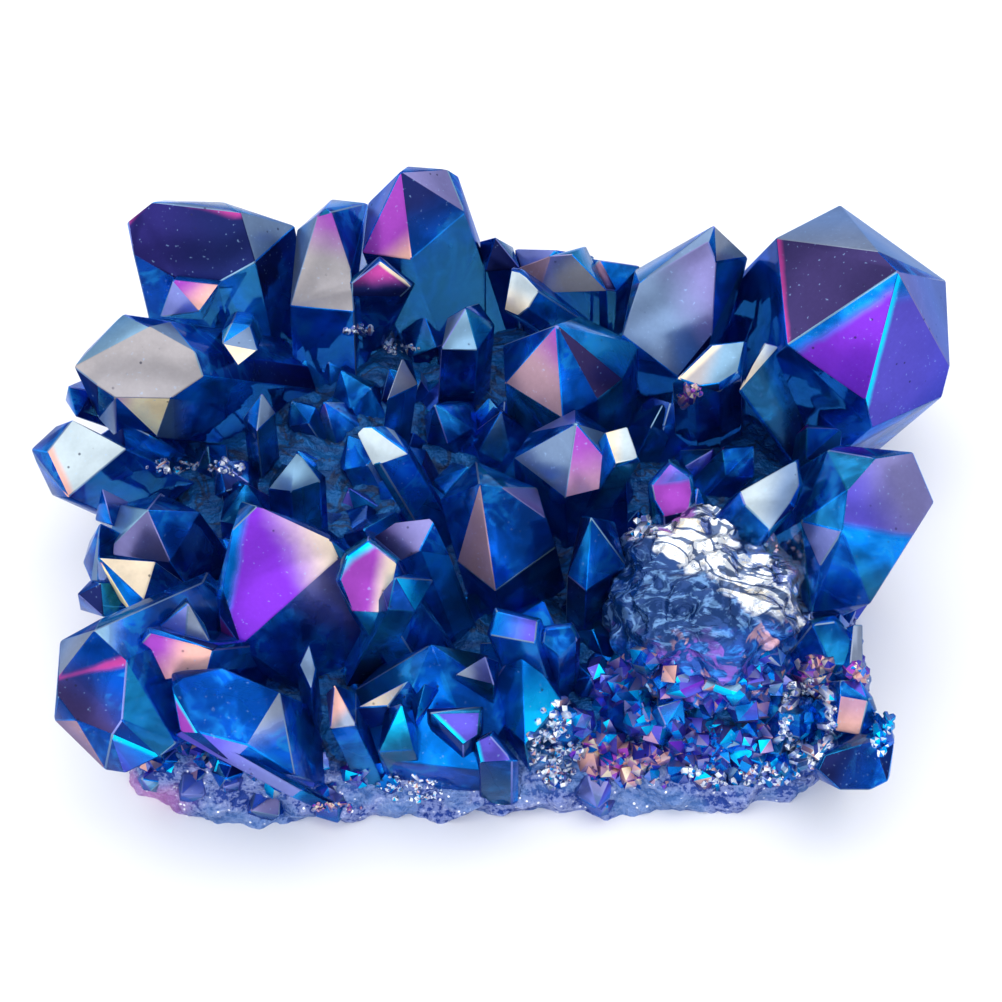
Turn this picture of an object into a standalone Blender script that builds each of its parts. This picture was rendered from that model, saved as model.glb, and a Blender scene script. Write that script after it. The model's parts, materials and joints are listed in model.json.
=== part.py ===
"""Coated quartz cluster: pointed crystals grown together on a flat-cut crust of rough matrix, one solid.

Frame: metres, +Z up, the flat cut on Z = 0 and the origin at the middle of the resting face.
The crystals are laid out in the growth frame, in millimetres: u across, v up the slope, w out of the slope.
"""

import bisect
import math
import random

import bmesh
import bpy
from mathutils import Matrix, Vector, noise

MM = 0.001  # metres in a millimetre
GROWTH_TILT = math.radians(50.0)  # the growth frame's w axis above the horizontal
TABLE_DROP = 12.0  # mm, the growth frame's origin above the flat cut
TAPER = 334.0  # mm, the layout narrows by w / TAPER toward the tips
SLOPE_FALL = -0.839  # w of the crust surface for each mm of v
SLOPE_RISE = 1.305  # w gained for each mm of height above the crust
COPLANAR = math.radians(0.4)  # hull facets flatter than this are one crystal face

CRUST_HALF = (37.4, 31.2, 8.6)  # mm, half size of the matrix mound
CRUST_CENTRE = (-0.9, 1.2, 0.0)  # mm
CRUST_SQUARE = 0.34  # 1 is an ellipse, less is squarer
CRUST_SKEW = 0.035  # mm of y for each mm of x, the front edge runs a little askew
CRUST_ROUGH = 1.0  # mm, height of the large lumps
CRUST_CELLS = 20  # squares across the mound's mesh
PROFILE_STEPS = 240  # steps that the mound's profile is measured in
DRUSE_CENTRE = (20.0, -11.0, 9.5)  # mm, growth frame
DRUSE_RADIUS = 9.8  # mm
DRUSE_ROUGH = 1.3  # mm
FILL_COUNT = 170  # tries for the small crystals between the large ones
RIM_COUNT = 56  # small crystals round the crust's side
BACK_COUNT = 26  # medium crystals on the far slope
SEED = 11

HEX_SIDES = 6
POINT_RATIO = 1.27  # height of a quartz point over the apothem of its prism

# The cluster's outline seen along w, as (u, v); the seeded crystals stay inside it.
OUTLINE = (
    (-37.4, 27.9), (-33.8, 29.6), (-26.0, 29.2), (-20.6, 26.8), (-17.0, 29.4), (-13.4, 29.2),
    (-9.5, 33.0), (-5.0, 32.8), (-1.6, 24.8), (1.4, 24.6), (13.4, 23.2), (21.3, 27.2), (25.2, 23.6),
    (33.9, 29.0), (44.2, 21.8), (44.6, 13.4), (38.6, 5.6), (41.0, 4.6), (43.0, -0.2), (36.6, -11.8),
    (36.2, -17.8), (38.8, -22.0), (38.8, -28.0), (28.0, -30.6), (10.0, -31.2), (-2.0, -32.0),
    (-27.0, -31.8), (-33.6, -30.0), (-37.6, -27.2), (-44.4, -22.0), (-44.0, -14.2), (-39.6, -11.6),
    (-42.2, -9.4), (-41.8, -6.2), (-39.8, -1.0), (-44.8, 0.8), (-46.6, 5.0), (-43.2, 8.0),
    (-43.4, 12.0), (-37.8, 18.4), (-35.8, 19.2),
)


def crystal(name, tip, rise, lean, point=5.0, ring=(), face=None, on=(), length=24.0, flare=0.0):
    """One named crystal.

    tip: (u, v) of the point, mm. rise: its height above the crust, mm. lean: tilt from w and the
    azimuth of the axis, degrees. point: depth of the ring of prism corners below the tip. ring:
    corners (u, v) on that ring, or (u, v, w from the tip). face: (tilt, azimuth, depth, corners) of
    one overgrown flat face. on: (a, b, corners) more corners in the plane of the tip and ring a, b.
    """
    return {
        "name": name, "tip": tip, "rise": rise, "lean": lean, "point": point, "ring": ring,
        "face": face, "on": on, "length": length, "flare": flare,
    }


CRYSTALS = [
    crystal("giant", (39.7, 23.0), 20, (30, 46), 10.5, length=30,
            ring=[(27.5, 26.3), (28.6, 15.6), (36.4, 10.2), (44.9, 13.5), (44.5, 22.0), (33.9, 29.6)],
            on=[(2, 3, [(37.1, 7.3), (44.1, 10.4)]), (0, 1, [(37.7, 25.0)])]),
    crystal("tall", (21.3, 27.6), 16, (42, 80), 6, length=26,
            face=(14, 235, 0.8, [(20.7, 25.9), (21.5, 23.9), (21.1, 16.6), (17.7, 12.4), (12.1, 16.6),
                                 (13.9, 21.9)]),
            ring=[(16.7, 24.7, -4), (13.4, 23.1, -6), (24.7, 24.4, -5)]),
    crystal("spire", (-10.1, 32.9), 14, (45, 110), 6, length=30,
            ring=[(-3.6, 28.8), (-9.0, 24.2), (-13.9, 24.9), (-13.3, 29.8, -4), (-9.3, 33.5, -2),
                  (-5.4, 33.2, -4), (-4.3, 32.5, -5)]),
    crystal("rose_wedge", (-17.5, 29.3), 12, (50, 90), 5.5, length=26,
            face=(8, 250, 0.5, [(-18.4, 28.5), (-17.0, 28.9), (-15.0, 22.9), (-14.7, 18.9), (-21.1, 19.5)]),
            ring=[(-20.4, 27.1, -4), (-16.9, 30.2, -4), (-13.3, 29.8, -7), (-14.4, 27.5, -5)]),
    crystal("corner", (-31.0, 29.8), 11, (55, 100), 5, length=26,
            face=(8, 275, 0.3, [(-37.3, 27.9), (-34.8, 29.9), (-26.1, 28.9), (-24.6, 23.9), (-28.4, 21.8),
                                (-32.3, 22.2), (-36.8, 24.8)]),
            ring=[(-33.8, 30.1, -3), (-27.8, 29.9, -3), (-20.6, 27.5, -5), (-23.3, 23.9, -4),
                  (-37.4, 27.8, -2)]),
    crystal("left_big", (-42.7, 13.4), 10, (36, 175), 6, length=18,
            face=(10, 40, 0, [(-40.9, 13.3), (-35.1, 17.4), (-30.6, 14.9), (-29.8, 12.5), (-33.0, 10.3),
                              (-38.6, 10.4), (-40.4, 11.6)]),
            ring=[(-42.7, 13.4, 0), (-41.6, 14.9, -2.5), (-37.8, 18.7, -4), (-33.0, 17.9, -4.5), (-30.2, 14.0, -3.5),
                  (-40.3, 8.3, -5), (-38.5, 6.3, -6.5), (-34.4, 6.4, -5), (-31.3, 9.5, -4)]),
    crystal("far_left", (-45.4, 4.9), 7, (28, 150), 4, length=14,
            face=(13, 120, 0, [(-42.9, 8.1), (-37.5, 5.2), (-43.3, 0.4), (-45.4, 4.9)]),
            ring=[(-47.0, 5.2, -2.5), (-46.5, 3.9, -3), (-44.9, 0.6, -3.5), (-44.5, 7.5, -2)]),
    crystal("rose_mid", (5.5, 17.6), 12, (40, 95), 6.3, length=26,
            ring=[(0.2, 15.6), (0.4, 11.8), (6.2, 8.2), (9.6, 10.1), (12.1, 12.1), (13.9, 15.6),
                  (8.0, 18.5)]),
    crystal("silver_pink", (7.5, 7.8), 12, (35, 95), 6,
            ring=[(1.2, 4.3), (6.4, 0.3), (12.6, 1.8), (11.4, 6.6), (7.5, 9.2), (2.9, 6.8)]),
    crystal("magenta_big", (-25.0, -1.0), 13, (50, 140), 6,
            face=(8, 300, 0, [(-26.9, -2.9), (-24.4, -0.5), (-17.1, -3.9), (-16.3, -5.7), (-26.1, -14.4),
                              (-27.9, -8.9)]),
            ring=[(-28.5, -8.9, -1.5), (-28.2, -11.4, -2), (-27.9, -14.4, -4), (-26.0, 0.0, -3),
                  (-17.0, -3.0, -3)]),
    crystal("magenta_small", (-13.6, -4.0), 12, (50, 120), 4, length=20, flare=0.5,
            face=(5, 300, 0, [(-13.3, -4.0), (-10.5, -6.1), (-11.5, -11.1), (-14.9, -10.9), (-16.1, -7.9),
                              (-15.4, -5.5)])),
    crystal("cyan_shard", (-10.6, -7.6), 12, (40, 60), 3, length=16,
            ring=[(-11.8, -9.0), (-11.3, -10.9), (-8.6, -11.1), (-6.7, -7.9), (-9.0, -7.2)]),
    crystal("plum", (-10.6, -2.1), 11, (50, 110), 4, length=18,
            face=(15, 290, 0, [(-12.8, -3.6), (-10.6, -2.1), (-7.1, -1.7), (-6.7, -2.1), (-8.1, -4.9),
                               (-10.1, -5.9)]),
            ring=[(-5.1, -5.4, -3)]),
    crystal("navy_mid", (-2.2, 1.7), 12, (30, 105), 7.5,
            ring=[(-6.1, 0.1), (-4.4, -6.0), (-0.6, -9.0), (5.5, -4.6), (3.6, 1.3), (-2.5, 4.0)],
            on=[(2, 3, [(4.4, -1.6), (0.1, 1.4)])]),
    crystal("right_block", (34.1, -3.0), 12, (15, 40), 6,
            face=(22, 15, 0, [(34.1, -3.0), (34.6, 1.1), (37.4, 4.3), (41.2, 4.9), (43.3, -0.1),
                              (40.7, -4.1)]),
            ring=[(36.9, -10.3, -4), (31.1, -11.1, -5), (31.9, -6.4, -2.5), (32.7, 5.1, -5),
                  (33.9, 5.6, -6), (30.0, -2.0, -4)]),
    crystal("low_left", (-44.3, -18.5), 8, (34, 205), 5, length=17,
            face=(10, 250, 0, [(-40.6, -12.9), (-37.4, -15.9), (-37.9, -21.9), (-38.9, -23.4),
                               (-42.6, -21.9), (-44.3, -19.6), (-44.3, -17.7)]),
            ring=[(-44.1, -14.0, -2.5), (-39.9, -11.7, -2.5), (-37.5, -14.3, -2), (-44.7, -21.9, -3),
                  (-39.6, -26.9, -4.5), (-37.6, -27.2, -4.5), (-34.1, -25.5, -3.5), (-32.5, -24.2, -4),
                  (-34.6, -21.7, -3.5)]),
    crystal("low_blue", (-32.9, -18.7), 7, (20, 145), 5, length=10,
            face=(15, 290, 0, [(-32.9, -18.7), (-31.9, -17.7), (-27.9, -16.7), (-22.1, -19.2),
                               (-25.3, -24.4), (-30.3, -23.1)]),
            ring=[(-32.1, -23.0, -1.5), (-27.1, -26.1, -2.5), (-20.6, -27.4, -4), (-22.0, -22.5, -3.5),
                  (-33.0, -17.0, -3)]),
    crystal("ledge", (-32.6, -23.4), 2, (50, 150), 3, length=4, flare=0.4,
            face=(20, 240, 0, [(-32.6, -23.4), (-31.1, -22.7), (-20.1, -28.9), (-21.0, -29.6)])),
    crystal("back_tan", (4.9, 24.5), 8, (45, 95), 4, length=20,
            ring=[(1.7, 23.3), (3.8, 20.9), (10.6, 21.1), (8.5, 25.5, -4)],
            on=[(1, 2, [(7.1, 24.7)])]),
    crystal("cream_nub", (1.2, 23.1), 8, (45, 150), 3, length=10, flare=0.3,
            face=(20, 200, 0, [(1.0, 23.1), (1.9, 22.9), (3.7, 21.0), (2.7, 19.3), (1.7, 18.5), (0.3, 19.1)])),
    crystal("cream_rim", (21.1, 15.6), 12, (24, 100), 3, length=18, flare=0.5,
            face=(20, 80, 0, [(17.7, 12.3), (21.1, 15.6), (24.4, 16.0), (23.7, 12.9), (21.9, 11.8),
                              (19.9, 11.5)])),
    crystal("light_face", (29.6, 4.1), 14, (50, 50), 4, length=14, flare=0.6,
            face=(15, 100, 0, [(29.5, 4.1), (29.8, 1.6), (28.9, -0.1), (26.9, -2.8), (24.4, -0.4),
                               (23.9, 0.9)])),
    crystal("hexagon", (16.9, 3.8), 11, (45, 95), 3, length=16, flare=0.4,
            face=(5, 280, 0, [(16.9, 3.8), (18.9, 2.4), (19.1, 0.9), (18.8, -0.9), (16.3, -1.5),
                              (15.4, 0.0), (15.1, 1.6)])),
    crystal("grey_left", (-35.4, -0.9), 9, (40, 120), 4.5, length=18,
            ring=[(-38.3, -0.4), (-39.7, -5.2), (-33.1, -6.1), (-30.1, -1.1), (-34.0, 0.8)]),
    crystal("grey_edge", (-40.1, -2.2), 7, (45, 150), 4, length=16,
            ring=[(-39.0, -2.7), (-40.3, -8.0), (-41.0, -8.1), (-41.8, -6.2), (-41.1, -3.9)]),
    crystal("cream_left", (-40.4, -5.6), 8, (45, 140), 4, length=16,
            ring=[(-34.6, -6.0), (-35.8, -9.9), (-37.0, -11.1), (-38.2, -9.9), (-40.3, -7.7)]),
    crystal("grey_pyramid", (-31.3, -10.2), 11, (35, 95), 3.5, length=18,
            ring=[(-34.9, -13.1), (-31.6, -14.7), (-28.8, -14.7), (-29.6, -12.4), (-31.5, -9.6)]),
    crystal("peach_ledge", (-36.1, -14.4), 9, (20, 180), 3, length=12, flare=0.4,
            face=(25, 270, 0, [(-36.1, -14.4), (-35.1, -13.3), (-28.8, -14.9), (-29.4, -17.2),
                               (-34.1, -18.0)])),
    crystal("peach_point", (-30.1, 19.0), 8, (10, 270), 3, length=16,
            ring=[(-32.8, 22.1, -1), (-28.2, 21.6, -1.5), (-29.8, 18.1, -2), (-34.1, 18.4, -2.5)]),
    crystal("small_cap", (-26.3, 13.5), 8, (10, 280), 3, length=14,
            ring=[(-27.9, 15.8, -1), (-24.3, 15.1, -1), (-27.9, 17.1, -2.5), (-26.9, 17.9, -3),
                  (-25.1, 17.6, -3)]),
    crystal("grey_chip", (-23.9, 10.9), 7, (35, 90), 2, length=14,
            ring=[(-25.8, 8.3), (-24.4, 7.0), (-22.5, 8.8)]),
    crystal("blue_grey", (-20.4, 4.9), 8, (45, 90), 3, length=16,
            ring=[(-23.3, 1.2), (-21.0, 0.9), (-18.1, 1.9), (-17.5, 2.5)]),
    crystal("white_mid", (-14.4, 6.8), 10, (50, 120), 3, length=16,
            face=(15, 80, 0, [(-14.4, 6.8), (-13.8, 7.4), (-12.9, 7.4), (-9.3, 4.8), (-12.1, 3.8),
                              (-12.8, 3.6), (-13.5, 5.6)]),
            ring=[(-11.8, 7.6, -1), (-10.6, 7.1, -1.2), (-9.4, 5.9, -1.5)]),
    crystal("white_chip", (-9.9, 14.3), 9, (45, 80), 2.5, length=14,
            ring=[(-11.4, 10.1), (-9.6, 12.0), (-8.3, 11.6), (-8.9, 14.0)]),
    crystal("grey_mid", (-3.5, 19.4), 9, (40, 85), 3, length=16,
            ring=[(-5.4, 18.3), (-6.0, 15.2), (-2.3, 15.1), (-0.6, 17.6), (-2.2, 19.8)]),
    crystal("knob", (-0.6, 26.4), 6, (45, 90), 3, length=14,
            ring=[(-2.1, 26.0), (-1.6, 23.0), (1.9, 23.3), (1.2, 25.4)]),
    crystal("rim_a", (5.5, 25.1), 5, (40, 90), 2.5, length=14,
            ring=[(1.4, 25.2, -3), (2.5, 22.0), (8.0, 22.0), (9.3, 24.5, -3)]),
    crystal("rim_b", (9.8, 24.1), 5, (40, 90), 2.5, length=14,
            ring=[(7.0, 24.5, -3), (7.5, 21.5), (11.5, 21.0), (13.9, 23.5, -3)]),
    crystal("nub_a", (-43.3, 11.5), 6, (50, 160), 2, length=14,
            ring=[(-43.6, 10.1), (-42.5, 8.4), (-41.0, 11.0), (-41.9, 12.1)]),
    crystal("nub_b", (-42.4, -9.3), 6, (50, 180), 2, length=14,
            ring=[(-41.1, -7.9), (-40.1, -8.2), (-39.8, -11.6), (-42.1, -10.9)]),
    crystal("lilac", (-39.9, 1.3), 6, (50, 150), 2, length=14,
            ring=[(-38.5, 0.5), (-38.9, -2.4), (-40.6, -1.9), (-40.1, -0.2)]),
    crystal("lens", (-19.2, -14.4), 7, (30, 90), 2.4, length=12, flare=0.3,
            face=(12, 60, 0, [(-19.2, -14.4), (-18.6, -16.7), (-19.0, -18.8), (-20.1, -16.4)])),
    crystal("strip", (-16.7, -18.4), 4, (40, 110), 3, length=14,
            ring=[(-17.5, -19.2), (-17.1, -22.7), (-14.5, -22.4), (-14.5, -19.1)]),
    crystal("dome", (-7.0, -14.3), 5, (25, 100), 6, length=20,
            ring=[(-14.6, -18.9), (-12.0, -26.0), (-2.0, -27.0), (1.5, -20.0), (-1.1, -15.4),
                  (-12.1, -16.4)]),
    crystal("cream_strip", (-9.3, -17.9), 4.5, (40, 120), 2, length=12,
            ring=[(-14.6, -20.7), (-11.3, -20.5), (-9.0, -18.6)]),
    crystal("cyan_a", (-7.6, -18.2), 5, (25, 100), 4, length=14,
            ring=[(-9.1, -19.9), (-8.6, -22.1), (-6.1, -18.9)]),
    crystal("cyan_b", (-10.0, -20.2), 4, (25, 110), 4, length=14,
            ring=[(-11.6, -20.7), (-12.3, -25.1), (-8.8, -24.9), (-8.6, -22.4)]),
    crystal("violet_b", (-7.1, -21.2), 3, (25, 90), 3, length=12, flare=0.4,
            face=(15, 270, 0, [(-7.1, -21.2), (-2.1, -21.1), (-2.3, -23.4), (-3.8, -24.4)])),
    crystal("violet_c", (-1.1, -23.5), 1.5, (25, 90), 3, length=12, flare=0.4,
            face=(25, 200, 0, [(-2.6, -24.1), (-1.1, -23.5), (1.1, -26.0), (-2.1, -26.2)])),
    crystal("lilac_point", (-1.6, -15.5), 6, (35, 90), 3, length=12,
            ring=[(-4.6, -17.4), (-0.7, -18.4), (-0.2, -16.0)]),
    crystal("violet_plate", (-0.4, -11.1), 9, (40, 110), 3, length=14, flare=0.4,
            face=(15, 250, 0, [(-0.4, -11.1), (3.6, -12.1), (3.4, -14.2), (-1.1, -13.4)])),
    crystal("low_body", (2.0, -14.0), 5, (30, 100), 6, length=18,
            ring=[(-2.1, -14.2), (-2.0, -20.0), (2.4, -24.4), (6.1, -19.9), (4.4, -14.4)]),
    crystal("navy_plate", (5.0, -12.7), 7, (30, 90), 3, length=14, flare=0.4,
            face=(10, 270, 0, [(4.4, -12.9), (6.9, -12.6), (7.6, -13.9), (5.9, -15.5), (4.2, -14.2)])),
    crystal("navy_point", (9.0, -1.6), 10, (35, 90), 5, length=16,
            ring=[(6.6, -7.4), (8.5, -9.0), (12.5, -6.4), (11.4, -2.1), (8.0, -1.5)]),
    crystal("white_patch", (12.6, 7.4), 11, (45, 60), 3, length=14, flare=0.3,
            face=(20, 90, 0, [(10.4, 6.8), (12.6, 7.4), (13.7, 4.3), (11.4, 3.8)])),
    crystal("corner_peach", (35.9, -17.9), 3, (18, 20), 3, length=10,
            face=(20, 200, 0, [(33.9, -19.4), (36.7, -19.9), (35.9, -23.4), (33.4, -22.9)]),
            ring=[(33.9, -17.9, -1), (35.9, -17.9, -1), (37.2, -19.6, -1.5), (38.0, -22.0, -3)]),
    crystal("corner_blue", (38.0, -25.0), 1.5, (10, 345), 4, length=9,
            face=(15, 200, 0, [(32.4, -25.4), (35.9, -24.4), (37.4, -24.1), (38.7, -28.0), (36.9, -28.9),
                               (33.9, -28.9), (31.7, -26.9)]),
            ring=[(39.3, -24.4, -2.5), (39.1, -22.1, -4), (38.9, -27.5, -3)]),
    crystal("teal_right", (33.4, -12.1), 6, (35, 60), 3, length=14, flare=0.5,
            face=(10, 240, 0, [(31.1, -12.4), (33.4, -12.1), (34.9, -13.9), (34.7, -16.4), (32.9, -16.4)])),
    crystal("grey_right", (36.2, -12.4), 5, (25, 30), 3, length=12, flare=0.1,
            face=(30, 30, 0, [(35.3, -12.4), (36.2, -12.4), (36.2, -16.7), (35.7, -17.9), (34.9, -16.7)])),
    crystal("broken_ledge", (-12.1, 23.9), 9, (40, 60), 3, length=16, flare=0.4,
            face=(25, 280, 0, [(-14.9, 21.8), (-12.1, 23.9), (-8.9, 21.5), (-10.1, 20.4), (-14.9, 20.4)])),
    crystal("nub_c", (-38.0, 8.0), 3, (40, 150), 2, length=12,
            ring=[(-40.6, 6.3), (-37.5, 4.5), (-35.0, 6.5), (-36.5, 8.5)]),
    crystal("white_shoulder", (26.4, 15.8), 10, (45, 130), 3, length=14, flare=0.2,
            face=(20, 60, 0, [(23.9, 11.2), (25.1, 13.6), (26.4, 15.8), (27.7, 15.5), (25.9, 13.8)])),
]


def direction(tilt, azimuth):
    """Unit vector in the growth frame, tilted from w toward an azimuth measured from u, degrees."""
    tilt, azimuth = math.radians(tilt), math.radians(azimuth)
    return Vector((math.sin(tilt) * math.cos(azimuth), math.sin(tilt) * math.sin(azimuth), math.cos(tilt)))


def placed(u, v, w):
    """Growth-frame point for a layout position at a depth w."""
    k = 1.0 - w / TAPER
    return Vector((u * k, v * k, w))


def on_plane(u, v, normal, through):
    """Growth-frame point of a layout position on a plane."""
    foot = Vector((u, v, 0.0))
    run = Vector((-u / TAPER, -v / TAPER, 1.0))
    return placed(u, v, normal.dot(through - foot) / normal.dot(run))


def to_world():
    """Matrix from the growth frame to the resting frame, both in mm."""
    tilt = Matrix.Rotation(math.radians(90.0) - GROWTH_TILT, 4, "X")
    return Matrix.Translation((0.0, 0.0, TABLE_DROP)) @ tilt


def face_corners(face, tip, axis):
    """The corners of an overgrown face, and its normal."""
    tilt, azimuth, depth, corners = face
    normal = direction(tilt, azimuth)
    start = on_plane(*corners[0], axis, tip - axis * depth) if depth else tip
    return [on_plane(u, v, normal, start) for u, v in corners], normal


def crystal_points(spec):
    """Hull points of one named crystal in the growth frame."""
    u, v = spec["tip"]
    tip = placed(u, v, SLOPE_FALL * v + SLOPE_RISE * spec["rise"])
    axis = direction(*spec["lean"])
    ring = []
    for corner in spec["ring"]:
        if len(corner) == 3:
            ring.append(placed(corner[0], corner[1], tip.z + corner[2]))
        else:
            ring.append(on_plane(corner[0], corner[1], axis, tip - axis * spec["point"]))
    points = list(ring)
    face = spec["face"]
    if face is None or face[2] > 0:
        points.append(tip)
    for first, second, corners in spec["on"]:
        normal = (ring[first] - tip).cross(ring[second] - tip).normalized()
        points += [on_plane(a, b, normal, tip) for a, b in corners]
    if face is not None:
        corners, normal = face_corners(face, tip, axis)
        points += corners
        middle = sum(corners, Vector()) / len(corners)
        for corner in corners if spec["flare"] else ():
            out = (corner - middle).normalized() * spec["flare"]
            points.append(corner + out - normal * 2.2 * spec["flare"])
    return points + [point - axis * spec["length"] for point in points]


def grown_point(tip, axis, apothem, length, turn, share):
    """Hull points of a plain six-sided quartz point in the resting frame."""
    side = axis.orthogonal().normalized()
    side.rotate(Matrix.Rotation(turn, 3, axis))
    radius = apothem / math.cos(math.pi / HEX_SIDES)
    points = [tip]
    for k in range(HEX_SIDES):
        arm = side.copy()
        arm.rotate(Matrix.Rotation(k * math.tau / HEX_SIDES, 3, axis))
        drop = POINT_RATIO * apothem * (1.0 + (share if k % 2 else -share))
        points.append(tip + arm * radius - axis * drop)
        points.append(tip + arm * radius - axis * length)
    return points


def add_hull(name, points, material, collection):
    """A closed convex crystal through the outermost of the points (resting frame, mm)."""
    mesh = bpy.data.meshes.new(name)
    bm = bmesh.new()
    verts = [bm.verts.new(point * MM) for point in points]
    result = bmesh.ops.convex_hull(bm, input=verts)
    spare = {e for e in result["geom_interior"] + result["geom_unused"] if isinstance(e, bmesh.types.BMVert)}
    bmesh.ops.delete(bm, geom=list(spare), context="VERTS")
    bmesh.ops.dissolve_limit(bm, angle_limit=COPLANAR, verts=bm.verts[:], edges=bm.edges[:])
    bmesh.ops.recalc_face_normals(bm, faces=bm.faces[:])
    bm.to_mesh(mesh)
    bm.free()
    mesh.materials.append(material)
    obj = bpy.data.objects.new(name, mesh)
    obj.hide_render = True
    obj.display_type = "WIRE"
    collection.objects.link(obj)
    return obj


def druse_mesh():
    """The crumpled knob of fine druse, cut level with the crust's foot."""
    mesh = bpy.data.meshes.new("druse")
    bm = bmesh.new()
    bmesh.ops.create_icosphere(bm, subdivisions=3, radius=1.0)
    for vert in bm.verts:
        vert.co = druse_point(vert.co.normalized()) * MM
    cut = bm.verts[:] + bm.edges[:] + bm.faces[:]
    bmesh.ops.bisect_plane(bm, geom=cut, plane_co=(0, 0, 0), plane_no=(0, 0, -1), clear_outer=True)
    open_edges = [edge for edge in bm.edges if edge.is_boundary]
    if open_edges:
        bmesh.ops.holes_fill(bm, edges=open_edges, sides=0)
    bmesh.ops.recalc_face_normals(bm, faces=bm.faces[:])
    bm.to_mesh(mesh)
    bm.free()
    return mesh


def even_profile():
    """Angles from the mound's top to its foot, evenly spaced along its profile."""
    angles = [math.pi / 2 * (k / PROFILE_STEPS) ** 3 for k in range(PROFILE_STEPS + 1)]
    spots = [(squared(math.sin(a)) * CRUST_HALF[1], math.cos(a) * CRUST_HALF[2]) for a in angles]
    lengths = [0.0]
    for (r0, z0), (r1, z1) in zip(spots, spots[1:]):
        lengths.append(lengths[-1] + math.hypot(r1 - r0, z1 - z0))
    return angles, lengths


def mound_unit(x, y, angles, lengths):
    """Unit direction on the mound for a place (x, y) on a square sheet that reaches from -1 to 1."""
    share = max(abs(x), abs(y))
    if share < 1e-6:
        return Vector((0.0, 0.0, 1.0))
    length = min(share, 1.0) * lengths[-1]
    k = min(bisect.bisect_left(lengths, length), len(lengths) - 1)
    part = (length - lengths[k - 1]) / (lengths[k] - lengths[k - 1])
    angle = angles[k - 1] + part * (angles[k] - angles[k - 1])
    east, north = abs(x) ** (1 / CRUST_SQUARE), abs(y) ** (1 / CRUST_SQUARE)
    out = math.sin(angle) / math.hypot(east, north)
    return Vector((math.copysign(east * out, x), math.copysign(north * out, y), math.cos(angle)))


def mound_mesh():
    """The matrix mound: a square sheet drawn down over it, closed level with its foot."""
    mesh = bpy.data.meshes.new("crust")
    bm = bmesh.new()
    bmesh.ops.create_grid(bm, x_segments=CRUST_CELLS, y_segments=CRUST_CELLS, size=1.0)
    angles, lengths = even_profile()
    for vert in bm.verts:
        vert.co = crust_point(mound_unit(vert.co.x, vert.co.y, angles, lengths)) * MM
    foot = [edge for edge in bm.edges if edge.is_boundary]
    for edge in foot:
        for vert in edge.verts:
            vert.co.z = 0.0
    bmesh.ops.holes_fill(bm, edges=foot, sides=0)
    bmesh.ops.triangulate(bm, faces=[face for face in bm.faces if len(face.verts) == 4])
    bmesh.ops.recalc_face_normals(bm, faces=bm.faces[:])
    bm.to_mesh(mesh)
    bm.free()
    return mesh


def squared(value):
    """Pushes a unit coordinate outward, so that the mound's plan is squarer."""
    return math.copysign(abs(value) ** CRUST_SQUARE, value)


def crust_point(unit):
    """Surface of the matrix mound for a unit direction, mm in the resting frame."""
    point = Vector((squared(unit.x) * CRUST_HALF[0], squared(unit.y) * CRUST_HALF[1], unit.z * CRUST_HALF[2]))
    lumps = noise.noise(point * 0.12) + 1.4 * noise.noise(point * 0.33 + Vector((9, 3, 1)))
    flat = Vector((unit.x, unit.y, 0.35 * unit.z)).normalized()
    point.y += CRUST_SKEW * point.x
    return point + flat * lumps * CRUST_ROUGH + Vector(CRUST_CENTRE)


def druse_point(unit):
    """Surface of the crumpled druse knob for a unit direction, mm in the resting frame."""
    crumple = noise.noise(unit * 2.3 + Vector((4, 4, 4))) + 0.6 * noise.noise(unit * 5.1)
    radius = DRUSE_RADIUS + crumple * DRUSE_ROUGH
    centre = to_world() @ Vector(DRUSE_CENTRE)
    return centre + unit * radius


def inside_outline(u, v, margin):
    """Whether a layout position lies within the outline, at least a margin from its edge."""
    inside = False
    closest = math.inf
    for (u0, v0), (u1, v1) in zip(OUTLINE, OUTLINE[1:] + OUTLINE[:1]):
        if (v0 > v) != (v1 > v) and u < u0 + (u1 - u0) * (v - v0) / (v1 - v0):
            inside = not inside
        along = ((u - u0) * (u1 - u0) + (v - v0) * (v1 - v0)) / ((u1 - u0) ** 2 + (v1 - v0) ** 2)
        along = min(1.0, max(0.0, along))
        closest = min(closest, math.hypot(u - u0 - along * (u1 - u0), v - v0 - along * (v1 - v0)))
    return inside and closest > margin


def layout_of(point, inverse):
    """Layout position (u, v) and depth w of a point in the resting frame."""
    local = inverse @ point
    k = 1.0 - local.z / TAPER
    return local.x / k, local.y / k, local.z


def hides_named(u, v, w, apothem):
    """Whether a small crystal's tip stands in front of a named crystal's point."""
    for spec in CRYSTALS:
        corners = list(spec["face"][3]) if spec["face"] else [spec["tip"]]
        corners += [corner[:2] for corner in spec["ring"]]
        mid_u = sum(corner[0] for corner in corners) / len(corners)
        mid_v = sum(corner[1] for corner in corners) / len(corners)
        reach = max(math.hypot(c[0] - mid_u, c[1] - mid_v) for c in corners)
        tip_w = SLOPE_FALL * spec["tip"][1] + SLOPE_RISE * spec["rise"]
        if math.hypot(u - mid_u, v - mid_v) < 0.85 * reach + 0.3 * apothem and w > tip_w - 9.0:
            return True
    return False


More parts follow.
